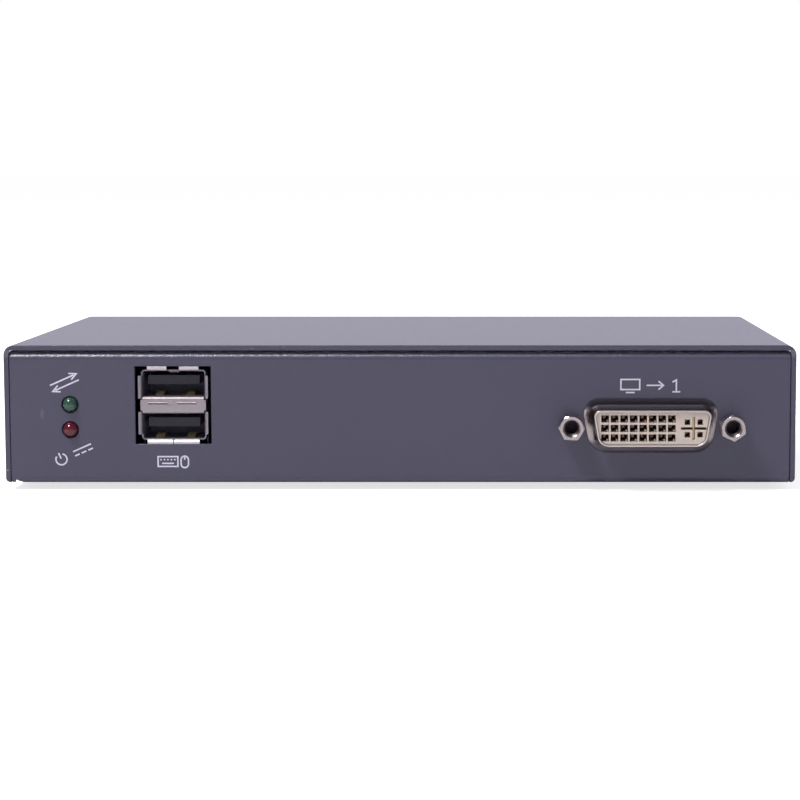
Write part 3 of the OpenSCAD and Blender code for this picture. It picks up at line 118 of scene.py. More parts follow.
def powder_coat():
    """Pebbles of melted powder as bump, and slow clouds of its thickness as colour. Specks, a scuff and a
    chip lie over them, and a pale painted light in the seam. The front bend has a higher bump and a thin
    glossy coat, which catch a lamp."""
    material, tree, shader, place = start("baked_powder_coat")
    axes = add(tree, "ShaderNodeSeparateXYZ", links={"Vector": place})
    pebbles = add(tree, "ShaderNodeTexNoise", {"Scale": 1 / paint_pebble, "Detail": 2, "Roughness": 0.55},
                  {"Vector": place})
    clouds = add(tree, "ShaderNodeTexNoise", {"Scale": 1 / paint_cloud, "Detail": 2}, {"Vector": place})
    tone = add(tree, "ShaderNodeMix",
               {"data_type": "RGBA", 6: linear(paint_tones[0]), 7: linear(paint_tones[1])},
               {0: clouds.outputs["Fac"]})

    cells = add(tree, "ShaderNodeTexVoronoi", {"Scale": 1 / speck_spacing}, {"Vector": place})
    speck = add(tree, "ShaderNodeMapRange",
                {"From Min": speck_radii[0] / speck_spacing, "From Max": speck_radii[1] / speck_spacing,
                 "To Min": speck_strength, "To Max": 0.0},
                {"Value": cells.outputs["Distance"]})
    specked = add(tree, "ShaderNodeMix", {"data_type": "RGBA", 7: linear(speck_tone)},
                  {0: speck.outputs["Result"], 6: tone.outputs[2]})

    apart = add(tree, "ShaderNodeVectorMath", {"operation": "SUBTRACT", 1: scuff_place}, {0: place})
    long = add(tree, "ShaderNodeVectorMath", {"operation": "MULTIPLY", 1: scuff_shape}, {0: apart.outputs[0]})
    away = add(tree, "ShaderNodeVectorMath", {"operation": "LENGTH"}, {0: long.outputs[0]})
    near = add(tree, "ShaderNodeMapRange",
               {"From Min": 0.0, "From Max": scuff_radius, "To Min": scuff_strength, "To Max": 0.0},
               {"Value": away.outputs["Value"]})
    torn = add(tree, "ShaderNodeTexNoise", {"Scale": 1 / scuff_grain, "Detail": 3}, {"Vector": place})
    worn = add(tree, "ShaderNodeMath", {"operation": "MULTIPLY"},
               {0: near.outputs["Result"], 1: torn.outputs["Fac"]})
    scuffed = add(tree, "ShaderNodeMix", {"data_type": "RGBA", 7: linear(scuff_tone)},
                  {0: worn.outputs[0], 6: specked.outputs[2]})

    chip_away = add(tree, "ShaderNodeVectorMath", {"operation": "DISTANCE", 1: chip_place}, {0: place})
    chip = add(tree, "ShaderNodeMath", {"operation": "LESS_THAN", 1: chip_radius},
               {0: chip_away.outputs["Value"]})
    chipped = add(tree, "ShaderNodeMix", {"data_type": "RGBA", 7: linear(chip_tone)},
                  {0: chip.outputs[0], 6: scuffed.outputs[2]})

    across = add(tree, "ShaderNodeMath", {"operation": "ABSOLUTE"}, {0: axes.outputs["X"]})
    inward = add(tree, "ShaderNodeMath", {"operation": "LESS_THAN", 1: seam_half_w}, {0: across.outputs[0]})
    between = add(tree, "ShaderNodeMath", {"operation": "COMPARE", 1: seam_z, 2: seam_half_h},
                  {0: axes.outputs["Z"]})
    under = add(tree, "ShaderNodeMath", {"operation": "MULTIPLY"},
                {0: between.outputs[0], 1: inward.outputs[0]})
    mouth = add(tree, "ShaderNodeMath", {"operation": "LESS_THAN", 1: bend_back}, {0: axes.outputs["Y"]})
    seam = add(tree, "ShaderNodeMath", {"operation": "MULTIPLY"}, {0: under.outputs[0], 1: mouth.outputs[0]})
    # The seam under the cover gets a pale colour, a painted light that lifts its shade.
    lit_seam = add(tree, "ShaderNodeMix", {"data_type": "RGBA", 7: linear(seam_painted_light)},
                {0: seam.outputs[0], 6: chipped.outputs[2]})

    high = add(tree, "ShaderNodeMapRange", {"From Min": bend_low, "From Max": bend_low + bend_blend},
               {"Value": axes.outputs["Z"]})
    front = add(tree, "ShaderNodeMapRange", {"From Min": bend_back + bend_blend, "From Max": bend_back},
                {"Value": axes.outputs["Y"]})
    bend = add(tree, "ShaderNodeMath", {"operation": "MULTIPLY"},
               {0: high.outputs["Result"], 1: front.outputs["Result"]})
    below = add(tree, "ShaderNodeMath", {"operation": "LESS_THAN", 1: cover_under}, {0: axes.outputs["Z"]})
    glossy = add(tree, "ShaderNodeMath", {"operation": "MULTIPLY"}, {0: bend.outputs[0], 1: below.outputs[0]})
    rise = add(tree, "ShaderNodeMapRange", {"To Min": pebble_rise, "To Max": bend_rise},
               {"Value": bend.outputs[0]})
    rough = add(tree, "ShaderNodeMapRange", {"To Min": paint_dullness[0], "To Max": paint_dullness[1]},
                {"Value": pebbles.outputs["Fac"]})
    edge = add(tree, "ShaderNodeBevel", {"Radius": paint_edge, "samples": 4})
    bump = add(tree, "ShaderNodeBump", {"Strength": 0.6},
               {"Height": pebbles.outputs["Fac"], "Normal": edge.outputs["Normal"],
                "Distance": rise.outputs["Result"]})
    fit(tree, shader,
        {"IOR": 1.5, "Specular IOR Level": 0.62, "Coat Roughness": 0.4, "Coat IOR": 1.8},
        {"Base Color": lit_seam.outputs[2], "Roughness": rough.outputs["Result"],
         "Normal": bump.outputs["Normal"], "Coat Weight": glossy.outputs[0],
         "Coat Normal": bump.outputs["Normal"]})
    return material


coat(powder_coat(), "chassis", "cover")

# Four stick-on feet of black rubber, moulded without gloss.
# A trace of dust gives the black a grey mottle.
rubber_tones = ("#17171a", "#2a2a2d")
rubber_mottle = 0.8 * MM
rubber_rise = 0.03 * MM


def moulded_rubber():
    """Black rubber with a fine dusty mottle and no gloss."""
    material, tree, shader, place = start("black_moulded_rubber")
    dust = add(tree, "ShaderNodeTexNoise", {"Scale": 1 / rubber_mottle, "Detail": 4}, {"Vector": place})
    tone = add(tree, "ShaderNodeMix",
               {"data_type": "RGBA", 6: linear(rubber_tones[0]), 7: linear(rubber_tones[1])},
               {0: dust.outputs["Fac"]})
    bump = add(tree, "ShaderNodeBump", {"Strength": 0.3, "Distance": rubber_rise},
               {"Height": dust.outputs["Fac"]})
    fit(tree, shader, {"Roughness": 0.85},
        {"Base Color": tone.outputs[2], "Normal": bump.outputs["Normal"]})
    return material


coat(moulded_rubber(), "rubber_feet")

# The board is glass laminate under green solder mask, screwed to four zinc-plated posts.
# On it stand chips of black epoxy, an anodised heat sink on a soft pad, and aluminium cans.
# They show a little through the slots in the case's sides.
board_tones = ("#123f28", "#1d5a3a")
track_cell = 3 * MM
track_edge = (0.45, 0.5)
track_rise = 0.03 * MM


def solder_mask():
    """Green mask over copper tracks: the tracks are a pattern of cells, a little lighter and raised."""
    material, tree, shader, place = start("green_solder_mask")
    tracks = add(tree, "ShaderNodeTexVoronoi",
                 {"Scale": 1 / track_cell, "distance": "MANHATTAN", "feature": "F2"}, {"Vector": place})
    line = add(tree, "ShaderNodeMapRange", {"From Min": track_edge[0], "From Max": track_edge[1]},
               {"Value": tracks.outputs["Distance"]})
    tone = add(tree, "ShaderNodeMix",
               {"data_type": "RGBA", 6: linear(board_tones[0]), 7: linear(board_tones[1])},
               {0: line.outputs["Result"]})
    bump = add(tree, "ShaderNodeBump", {"Strength": 0.2, "Distance": track_rise},
               {"Height": line.outputs["Result"]})
    fit(tree, shader, {"Roughness": 0.28},
        {"Base Color": tone.outputs[2], "Normal": bump.outputs["Normal"]})
    return material


# A mould's spark-eroded skin is finer than the picture shows, so its grain is drawn coarser.
mould_grain = 0.18 * MM
mould_rise = 0.006 * MM
mould_mottle = 3 * MM
mould_spread = (0.85, 1.15)
mould_edge = 0.1 * MM
mould_soft_reach = 0.4 * MM


def moulded(name, tones, dullness, soft=0.0, patches=()):
    """A moulded plastic: faint mottle in colour, a fine spark-eroded skin as bump, and soft edges.
    soft is the share of light that sinks in. Each patch is a mask and the colour the plastic has there."""
    material, tree, shader, place = start(name)
    skin = add(tree, "ShaderNodeTexNoise", {"Scale": 1 / mould_grain, "Detail": 2}, {"Vector": place})
    mottle = add(tree, "ShaderNodeTexNoise", {"Scale": 1 / mould_mottle, "Detail": 2}, {"Vector": place})
    tone = add(tree, "ShaderNodeMix", {"data_type": "RGBA", 6: linear(tones[0]), 7: linear(tones[1])},
               {0: mottle.outputs["Fac"]})
    colour = tone.outputs[2]
    for mask_of, patch_tone in patches:
        colour = add(tree, "ShaderNodeMix", {"data_type": "RGBA", 7: linear(patch_tone)},
                     {0: mask_of(tree, place), 6: colour}).outputs[2]
    rough = add(tree, "ShaderNodeMapRange",
                {"To Min": dullness * mould_spread[0], "To Max": dullness * mould_spread[1]},
                {"Value": skin.outputs["Fac"]})
    edge = add(tree, "ShaderNodeBevel", {"Radius": mould_edge, "samples": 4})
    bump = add(tree, "ShaderNodeBump", {"Strength": 0.4, "Distance": mould_rise},
               {"Height": skin.outputs["Fac"], "Normal": edge.outputs["Normal"]})
    fit(tree, shader, {"Subsurface Weight": soft, "Subsurface Scale": mould_soft_reach},
        {"Base Color": colour, "Roughness": rough.outputs["Result"], "Normal": bump.outputs["Normal"]})
    return material


# The lines left by drawing or rolling are finer than the picture shows too, and drawn coarser.
plate_draw = (0.18, 1, 1)
plate_stain = 2.5 * MM
plate_spread = (0.7, 1.5)
plate_edge = 0.08 * MM
plate_rise = 0.004 * MM


def plated(name, tones, dullness, line, patches=()):
    """A plated metal: bright, its dullness and a slight bump following a noise drawn out along X.
    Each patch is a mask, and the colour and dullness the metal has there."""
    material, tree, shader, place = start(name)
    drawn = add(tree, "ShaderNodeMapping", {"Scale": plate_draw}, {"Vector": place})
    lines = add(tree, "ShaderNodeTexNoise", {"Scale": 1 / line, "Detail": 4}, {"Vector": drawn.outputs[0]})
    stain = add(tree, "ShaderNodeTexNoise", {"Scale": 1 / plate_stain, "Detail": 3}, {"Vector": place})
    tone = add(tree, "ShaderNodeMix", {"data_type": "RGBA", 6: linear(tones[0]), 7: linear(tones[1])},
               {0: stain.outputs["Fac"]})
    rough = add(tree, "ShaderNodeMapRange",
                {"To Min": dullness * plate_spread[0], "To Max": dullness * plate_spread[1]},
                {"Value": lines.outputs["Fac"]})
    colour, dull = tone.outputs[2], rough.outputs["Result"]
    for mask_of, patch_tone, patch_dullness in patches:
        mask = mask_of(tree, place)
        colour = add(tree, "ShaderNodeMix", {"data_type": "RGBA", 7: linear(patch_tone)},
                     {0: mask, 6: colour}).outputs[2]
        dull = add(tree, "ShaderNodeMix", {"data_type": "FLOAT", 3: patch_dullness},
                   {0: mask, 2: dull}).outputs[0]
    edge = add(tree, "ShaderNodeBevel", {"Radius": plate_edge, "samples": 4})
    bump = add(tree, "ShaderNodeBump", {"Strength": 0.4, "Distance": plate_rise},
               {"Height": lines.outputs["Fac"], "Normal": edge.outputs["Normal"]})
    fit(tree, shader, {"Metallic": 1.0},
        {"Base Color": colour, "Roughness": dull, "Normal": bump.outputs["Normal"]})
    return material


black_tones = ("#1f1f28", "#282833")
black_dullness = 0.5
nickel_tones = ("#c9bfbb", "#b8aeac")
nickel_dullness = 0.2
nickel_line = 0.25 * MM
black = moulded("black_glass_filled_plastic", black_tones, black_dullness)
nickel = plated("drawn_nickel_steel", nickel_tones, nickel_dullness, nickel_line)
zinc = plated("bright_zinc_steel", ("#bdbab8", "#a7a3a2"), dullness=0.34, line=0.3 * MM)
laminate = solder_mask()
coat(laminate, "main_board")
coat(zinc, "standoffs", "board_screws")
coat(moulded("black_chip_epoxy", ("#1c1c20", "#242428"), dullness=0.6),
     "processor_chip", "memory_chips", "video_chip", "hub_chip", "power_coils", "regulators")
coat(moulded("grey_silicone_pad", ("#7d8196", "#8b8fa3"), dullness=0.8), "thermal_pad")
coat(plated("black_anodised_aluminium", ("#2a2a30", "#232329"), dullness=0.4, line=0.3 * MM), "heat_sink")
coat(plated("drawn_aluminium_can", ("#c2c5cb", "#aeb1b8"), dullness=0.25, line=0.3 * MM), "capacitors")
coat(black, "capacitor_bases")
coat(nickel, "crystals")

# The video socket: a nickel-plated hood drawn from thin steel, round an off-white moulding.
# Nickel is warm and nearly a mirror. The hood's root in the panel's cut-out is painted darker and
# duller, a painted shade, and its lower flanks and front rim lighter, a painted highlight.
# Behind are a tin-plated shield and two nuts, which hold the socket's posts.


def middle(node):
    """The x and z of the middle of a node's box, as seen from the front."""
    return np.array(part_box(node)).mean(0)[[0, 2]]


hood_x, hood_z = middle("dvi_hood")
hood_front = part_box("dvi_hood")[0][1]
groove_from = (2.9 * MM, 3.9 * MM)
groove_ys = (face_y - 1.15 * MM, face_y - 0.25 * MM)
flank_from = (11.3 * MM, 11.8 * MM)
flank_zs = (hood_z + 0.75 * MM, hood_z - 0.75 * MM)
rim_ys = (hood_front + 0.545 * MM, hood_front + 0.245 * MM)
root_dullness = 0.6


def painted_root_shade(tree, place, way=1):
    """Mask of painted shade on the root deep in the panel's cut-out and above the hood's mid height, or
    below it if way is -1."""
    axes = add(tree, "ShaderNodeSeparateXYZ", links={"Vector": place})
    rise = add(tree, "ShaderNodeMath", {"operation": "SUBTRACT", 1: hood_z}, {0: axes.outputs["Z"]})
    away = add(tree, "ShaderNodeMath", {"operation": "MULTIPLY", 1: way}, {0: rise.outputs[0]})
    edge = add(tree, "ShaderNodeMapRange", {"From Min": groove_from[0], "From Max": groove_from[1]},
               {"Value": away.outputs[0]})
    deep = add(tree, "ShaderNodeMapRange", {"From Min": groove_ys[0], "From Max": groove_ys[1]},
               {"Value": axes.outputs["Y"]})
    return add(tree, "ShaderNodeMath", {"operation": "MULTIPLY"},
               {0: edge.outputs["Result"], 1: deep.outputs["Result"]}).outputs[0]


def painted_under_shade(tree, place):
    """The same painted shade mask on the side below."""
    return painted_root_shade(tree, place, -1)


def painted_flank_highlight(tree, place):
    """Mask of a painted highlight on the lower half of the hood's root at either side."""
    axes = add(tree, "ShaderNodeSeparateXYZ", links={"Vector": place})
    apart = add(tree, "ShaderNodeMath", {"operation": "SUBTRACT", 1: hood_x}, {0: axes.outputs["X"]})
    away = add(tree, "ShaderNodeMath", {"operation": "ABSOLUTE"}, {0: apart.outputs[0]})
    outer = add(tree, "ShaderNodeMapRange", {"From Min": flank_from[0], "From Max": flank_from[1]},
                {"Value": away.outputs[0]})
    low = add(tree, "ShaderNodeMapRange", {"From Min": flank_zs[0], "From Max": flank_zs[1]},
              {"Value": axes.outputs["Z"]})
    return add(tree, "ShaderNodeMath", {"operation": "MULTIPLY"},
               {0: outer.outputs["Result"], 1: low.outputs["Result"]}).outputs[0]


def rim(tree, place):
    """Mask of a painted highlight on the hood's front edge."""
    axes = add(tree, "ShaderNodeSeparateXYZ", links={"Vector": place})
    return add(tree, "ShaderNodeMapRange", {"From Min": rim_ys[0], "From Max": rim_ys[1]},
               {"Value": axes.outputs["Y"]}).outputs["Result"]


gold_wear = 0.4 * MM
gold_dullness = (0.2, 0.4)


def gold_flash(name, tones, metal=1.0):
    """Thin gold over bronze, duller and redder where the noise is high. Dust lowers metal, its mirror."""
    material, tree, shader, place = start(name)
    wear = add(tree, "ShaderNodeTexNoise", {"Scale": 1 / gold_wear, "Detail": 3}, {"Vector": place})
    tone = add(tree, "ShaderNodeMix", {"data_type": "RGBA", 6: linear(tones[0]), 7: linear(tones[1])},
               {0: wear.outputs["Fac"]})
    rough = add(tree, "ShaderNodeMapRange", {"To Min": gold_dullness[0], "To Max": gold_dullness[1]},
                {"Value": wear.outputs["Fac"]})
    fit(tree, shader, {"Metallic": metal},
        {"Base Color": tone.outputs[2], "Roughness": rough.outputs["Result"]})
    return material


tin_dullness = 0.46
tin_line = 0.2 * MM
tin = plated("tin_plated_sheet", ("#cdc5cb", "#bdb5bc"), tin_dullness, tin_line)
gold = gold_flash("gold_flashed_bronze", ("#d9c486", "#b39a5c"))
# The hood's patches are painted light and shade: highlights on its flanks and rim, shade at its root.
hood = plated("nickel_hood_painted_shade_and_highlights", nickel_tones, nickel_dullness, nickel_line, patches=[
    (painted_flank_highlight, "#fdf3ee", 0.5),
    (painted_root_shade, "#66626c", root_dullness),
    (painted_under_shade, "#8f8791", root_dullness),
    (rim, "#e4dbd6", 0.35),
])
coat(hood, "dvi_hood")
coat(moulded("off_white_moulding", ("#cfc2b8", "#c5b8ad"), dullness=0.42, soft=0.15), "dvi_insulator")
# The contacts deep in their holes are a darker copy of the gilt, a painted shade.
coat(gold_flash("contacts_painted_darker_gold", ("#9a8068", "#6b5646")), "dvi_contacts")
coat(gold, "dvi_cross_blade")
coat(tin, "dvi_rear_shield")
coat(zinc, "dvi_nuts")

# The two hexagon posts, turned from steel and nickel-plated. Their tapped holes are painted dark,
# a painted shade, and a ridge winds round each bore and shows as rings.
post_spacing = 32.4 * MM
post_xs = (hood_x - post_spacing / 2, hood_x + post_spacing / 2)
post_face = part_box("dvi_jackscrews")[0][1]
post_tones = ("#c4bab8", "#b0a6a8")
post_grain = 0.3 * MM
post_edge = 0.12 * MM
post_dullness = (0.26, 0.5)
bore_painted_shade = "#4a444a"
bore_r = 1.42 * MM
dark_within = 1.46 * MM
bright_beyond = 1.56 * MM
thread_pitch = 0.635 * MM
thread_depth = 0.26 * MM
thread_foot = 0.03 * MM
thread_foot_share = 0.44
thread_crest_share = 0.07
thread_fade_angle = 2.0
thread_start = 0.42 * MM
thread_turns = 6.6
thread_steps = 40


def tapped_nickel():
    """Plated metal, painted dark within the bore's radius of either post's axis, a painted shade, and dull
    there.
    """
    material, tree, shader, place = start("nickel_post_with_painted_bore_shade")
    flat = add(tree, "ShaderNodeVectorMath", {"operation": "MULTIPLY", 1: (1, 0, 1)}, {0: place})
    reach = []
    for x in post_xs:
        reach.append(add(tree, "ShaderNodeVectorMath", {"operation": "DISTANCE", 1: (x, 0, hood_z)},
                         {0: flat.outputs[0]}))
    nearest = add(tree, "ShaderNodeMath", {"operation": "MINIMUM"},
                  {0: reach[0].outputs["Value"], 1: reach[1].outputs["Value"]})
    inside = add(tree, "ShaderNodeMapRange",
                 {"From Min": dark_within, "From Max": bright_beyond, "To Min": 1.0, "To Max": 0.0},
                 {"Value": nearest.outputs[0]})
    grain = add(tree, "ShaderNodeTexNoise", {"Scale": 1 / post_grain, "Detail": 3}, {"Vector": place})
    bright = add(tree, "ShaderNodeMix",
                 {"data_type": "RGBA", 6: linear(post_tones[0]), 7: linear(post_tones[1])},
                 {0: grain.outputs["Fac"]})
    tone = add(tree, "ShaderNodeMix", {"data_type": "RGBA", 7: linear(bore_painted_shade)},
               {0: inside.outputs["Result"], 6: bright.outputs[2]})
    rough = add(tree, "ShaderNodeMapRange", {"To Min": post_dullness[0], "To Max": post_dullness[1]},
                {"Value": inside.outputs["Result"]})
    edge = add(tree, "ShaderNodeBevel", {"Radius": post_edge, "samples": 4})
    fit(tree, shader, {"Metallic": 1.0},
        {"Base Color": tone.outputs[2], "Roughness": rough.outputs["Result"],
         "Normal": edge.outputs["Normal"]})
    return material


def piece(name, points, faces, material, body):
    """A named mesh that rides on a body and takes the finish it is given."""
    mesh = bpy.data.meshes.new(name)
    mesh.from_pydata(points.tolist(), [], faces)
    mesh.update()
    mesh.materials.append(material)
    made = bpy.data.objects.new(name, mesh)
    bpy.context.scene.collection.objects.link(made)
    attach(made, body)


def surface(name, grid, material, body, close_u=False, close_v=False):
    """A piece from a grid of points, u by v: quads join neighbours, and closed ways join last to first."""
    rows, columns = grid.shape[:2]
    u, v = np.arange(rows if close_u else rows - 1), np.arange(columns if close_v else columns - 1)
    a = (u[:, None] * columns + v[None, :]).ravel()
    b = (u[:, None] * columns + (v[None, :] + 1) % columns).ravel()
    c = (((u[:, None] + 1) % rows) * columns + (v[None, :] + 1) % columns).ravel()
    d = (((u[:, None] + 1) % rows) * columns + v[None, :]).ravel()
    piece(name, grid.reshape(-1, 3), np.stack([a, b, c, d], 1).tolist(), material, body)


def thread(x):
    """A ridge along a helix of angle t: two foot points in the wall and, between them, two crest points
    further in by the thread's depth, which fades to nothing at both ends."""
    t = np.linspace(0, thread_turns * 2 * np.pi, int(thread_turns * thread_steps) + 1)[:, None]
    fade = np.minimum(1, np.minimum(t, t[-1] - t) / thread_fade_angle)
    radius = bore_r + thread_foot - (thread_foot + thread_depth * fade) * np.array([0, 1, 1, 0])
    shares = np.array([-thread_foot_share, -thread_crest_share, thread_crest_share, thread_foot_share])
    back = thread_start + thread_pitch * (t / (2 * np.pi) + shares)
    return np.stack([x + radius * np.sin(t), post_face + back, hood_z + radius * np.cos(t)], 2)


tapped = tapped_nickel()
coat(tapped, "dvi_jackscrews")
for side, x in zip(("left", "right"), post_xs):
    surface("post_thread_" + side, thread(x), tapped, "case", close_v=True)

# The stacked keyboard and mouse sockets: a tin-plated shell with curled lips, round a black
# moulding of glass-filled plastic whose two tongues carry gilt fingers. Inside, the tin is dull,
# and pale dust has gathered on the fingers. The shell's lower lips are painted lighter, a painted
# highlight; its top lips, sides and inside are darker, painted shade; and the moulding deep inside
# is painted lighter, a painted light that lifts its shade.
shell_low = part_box("usb_shell")[0]
shell_x = middle("usb_shell")[0]
inside_dullness = 0.6
inside_ys = (shell_low[1] + 0.9 * MM, shell_low[1] + 0.98 * MM)
sides_from = 6.1 * MM
top_from = shell_low[2] + 13.7 * MM
housing_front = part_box("usb_housing")[0][1]
lifted_ys = (housing_front + 0.05 * MM, housing_front + 2.05 * MM)
painted_socket_light = "#5a5a6b"


def painted_inside_shade(tree, place):
    """Mask of painted shade on the shell behind its curled lips, from its cut front edge inwards."""
    axes = add(tree, "ShaderNodeSeparateXYZ", links={"Vector": place})
    return add(tree, "ShaderNodeMapRange", {"From Min": inside_ys[0], "From Max": inside_ys[1]},
               {"Value": axes.outputs["Y"]}).outputs["Result"]


def painted_top_shade(tree, place):
    """Mask of painted shade on the shell's upper lips."""
    axes = add(tree, "ShaderNodeSeparateXYZ", links={"Vector": place})
    return add(tree, "ShaderNodeMath", {"operation": "GREATER_THAN", 1: top_from},
               {0: axes.outputs["Z"]}).outputs[0]


def painted_side_shade(tree, place):
    """Mask of painted shade on the shell's two side walls and their lips."""
    axes = add(tree, "ShaderNodeSeparateXYZ", links={"Vector": place})
    apart = add(tree, "ShaderNodeMath", {"operation": "SUBTRACT", 1: shell_x}, {0: axes.outputs["X"]})
    away = add(tree, "ShaderNodeMath", {"operation": "ABSOLUTE"}, {0: apart.outputs[0]})
    return add(tree, "ShaderNodeMath", {"operation": "GREATER_THAN", 1: sides_from},
               {0: away.outputs[0]}).outputs[0]


def painted_depth_light(tree, place):
    """Mask of the moulding behind the tongues' tips, painted lighter, a painted light that lifts its shade.
    """
    axes = add(tree, "ShaderNodeSeparateXYZ", links={"Vector": place})
    return add(tree, "ShaderNodeMapRange", {"From Min": lifted_ys[0], "From Max": lifted_ys[1]},
               {"Value": axes.outputs["Y"]}).outputs["Result"]


# The shell's own tone is lighter than the tin's, a painted highlight on its lower lips, and its patches are
# painted shade.
shell = plated("tin_shell_painted_light_and_shade", ("#ece4ea", "#dcd4da"), tin_dullness, tin_line, patches=[
    (painted_top_shade, "#d3cbd2", tin_dullness),
    (painted_side_shade, "#a19aa4", tin_dullness),
    (painted_inside_shade, "#9a98a8", inside_dullness),
])
coat(shell, "usb_shell")
# The bridge's tin is a darker copy of the tin, a painted shade.
coat(plated("tin_bridge_painted_shade", ("#b8aeb3", "#a89fa4"), tin_dullness, tin_line), "usb_bridge")
# The moulding deep inside is painted lighter, a painted light that lifts its shade.
coat(moulded("black_plastic_painted_light_inside", black_tones, black_dullness, patches=[
    (painted_depth_light, painted_socket_light),
]), "usb_housing")
coat(gold_flash("dusty_gold_fingers", ("#d3c49a", "#b3a37c"), metal=0.4), "usb_fingers")
coat(gold, "usb_contacts")

# Two lights of tinted clear epoxy, glossy as cast, on zinc-plated leads in a black holder.
# A steel cup in each holds the chip, and shows through the dome as a soft brighter patch.
epoxy_haze = 1.2 * MM
epoxy_dullness = (0.1, 0.14)
cup_inset = 0.7 * MM
cup_r = 0.85 * MM
cup_lip = 0.1 * MM
cup_floor_r = 0.3 * MM
cup_pole_r = 0.01 * MM
cup_depth = 0.45 * MM
cup_back = 2.4 * MM
cup_steps = 32


def tinted_epoxy(name, tones):
    """Clear tinted resin: light passes through it, coloured, and its skin is glossy."""
    material, tree, shader, place = start(name)
    haze = add(tree, "ShaderNodeTexNoise", {"Scale": 1 / epoxy_haze, "Detail": 1}, {"Vector": place})
    tint = add(tree, "ShaderNodeMix", {"data_type": "RGBA", 6: linear(tones[0]), 7: linear(tones[1])},
               {0: haze.outputs["Fac"]})
    rough = add(tree, "ShaderNodeMapRange", {"To Min": epoxy_dullness[0], "To Max": epoxy_dullness[1]},
                {"Value": haze.outputs["Fac"]})
    fit(tree, shader,
        {"Transmission Weight": 0.4, "IOR": 1.52, "Specular IOR Level": 0.5,
         "Coat Weight": 0.35, "Coat Roughness": 0.08},
        {"Base Color": tint.outputs[2], "Roughness": rough.outputs["Result"]})
    return material


def revolved(x, z, profile):
    """A profile of (radius, y) points turned about an axis along Y through x and z. It runs from the
    back round to the front, so that faces point outwards."""
    angle = np.linspace(0, 2 * np.pi, cup_steps, endpoint=False)[:, None]
    radius, y = np.array(profile).T
    return np.stack([x + radius * np.sin(angle), y + 0 * angle, z + radius * np.cos(angle)], 2)


coat(tinted_epoxy("green_epoxy", ("#285741", "#3f6b5a")), "link_light")
coat(tinted_epoxy("red_epoxy", ("#620f21", "#762236")), "power_light")
coat(zinc, "light_leads")
coat(black, "light_holder")
for light in ("link_light", "power_light"):
    x, z = middle(light)
    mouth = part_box(light)[0][1] + cup_inset
    cup = [
        (cup_pole_r, mouth + cup_back),
        (cup_r, mouth + cup_back),
        (cup_r + cup_lip, mouth),
        (cup_r, mouth),
        (cup_floor_r, mouth + cup_depth),
        (cup_pole_r, mouth + cup_depth),
    ]
    surface(light + "_cup", revolved(x, z, cup), zinc, "case", close_u=True)

# The power inlet, at the back: a black moulding with a nickel-plated pin, a gilt spring that
# presses on the plug's sleeve, and two zinc-plated legs that go through the board.
coat(black, "power_inlet")
coat(nickel, "inlet_pin")
coat(gold, "inlet_spring")
coat(zinc, "inlet_terminals")

# The fibre module: a die-cast zinc body and nose, plated with dull nickel, white ceramic sleeves
# in its two ports, and a bail of stainless spring wire. It slides in a tin-plated cage.
cast_tones = ("#aaa8aa", "#95939a")
cast_grain = 0.3 * MM
cast_dullness = (0.3, 0.45)
cast_edge = 0.15 * MM
cast_rise = 0.01 * MM


def cast_zinc():
    """Cast metal with a satin plate: a soft grain in its tone, dullness and bump, and rounded edges."""
    material, tree, shader, place = start("plated_zinc_casting")
    grain = add(tree, "ShaderNodeTexNoise", {"Scale": 1 / cast_grain, "Detail": 4}, {"Vector": place})
    tone = add(tree, "ShaderNodeMix",
               {"data_type": "RGBA", 6: linear(cast_tones[0]), 7: linear(cast_tones[1])},
               {0: grain.outputs["Fac"]})
    rough = add(tree, "ShaderNodeMapRange", {"To Min": cast_dullness[0], "To Max": cast_dullness[1]},
                {"Value": grain.outputs["Fac"]})
    edge = add(tree, "ShaderNodeBevel", {"Radius": cast_edge, "samples": 4})
    bump = add(tree, "ShaderNodeBump", {"Strength": 0.3, "Distance": cast_rise},
               {"Height": grain.outputs["Fac"], "Normal": edge.outputs["Normal"]})
    fit(tree, shader, {"Metallic": 1.0},
        {"Base Color": tone.outputs[2], "Roughness": rough.outputs["Result"],
         "Normal": bump.outputs["Normal"]})
    return material


coat(cast_zinc(), "module_body", "module_nose", "module_rocker")
coat(moulded("ground_zirconia", ("#e4e1da", "#dcd9d2"), dullness=0.2), "module_sleeves")
coat(plated("stainless_spring_wire", ("#c0bdba", "#aeaba9"), dullness=0.22, line=0.1 * MM), "module_bail")
coat(laminate, "module_board")
coat(gold, "module_optics")
coat(tin, "fibre_cage", "cage_latch_spring", "cage_gasket")
coat(black, "host_connector")

# Four countersunk screws hold the cover to the chassis's flanges.
# They are steel with a black zinc finish, which is dark and softly shiny.
screw_tone = "#3b3a42"
screw_grain = 0.25 * MM
screw_dullness = (0.32, 0.5)
screw_edge = 0.15 * MM


def black_zinc():
    """Dark plated steel: a metal whose dullness varies with a fine noise, and rounded edges."""
    material, tree, shader, place = start("black_zinc_steel")
    grain = add(tree, "ShaderNodeTexNoise", {"Scale": 1 / screw_grain, "Detail": 3}, {"Vector": place})
    rough = add(tree, "ShaderNodeMapRange", {"To Min": screw_dullness[0], "To Max": screw_dullness[1]},
                {"Value": grain.outputs["Fac"]})
    edge = add(tree, "ShaderNodeBevel", {"Radius": screw_edge, "samples": 4})
    fit(tree, shader, {"Base Color": linear(screw_tone), "Metallic": 0.85},
        {"Roughness": rough.outputs["Result"], "Normal": edge.outputs["Normal"]})
    return material


coat(black_zinc(), "cover_screws")

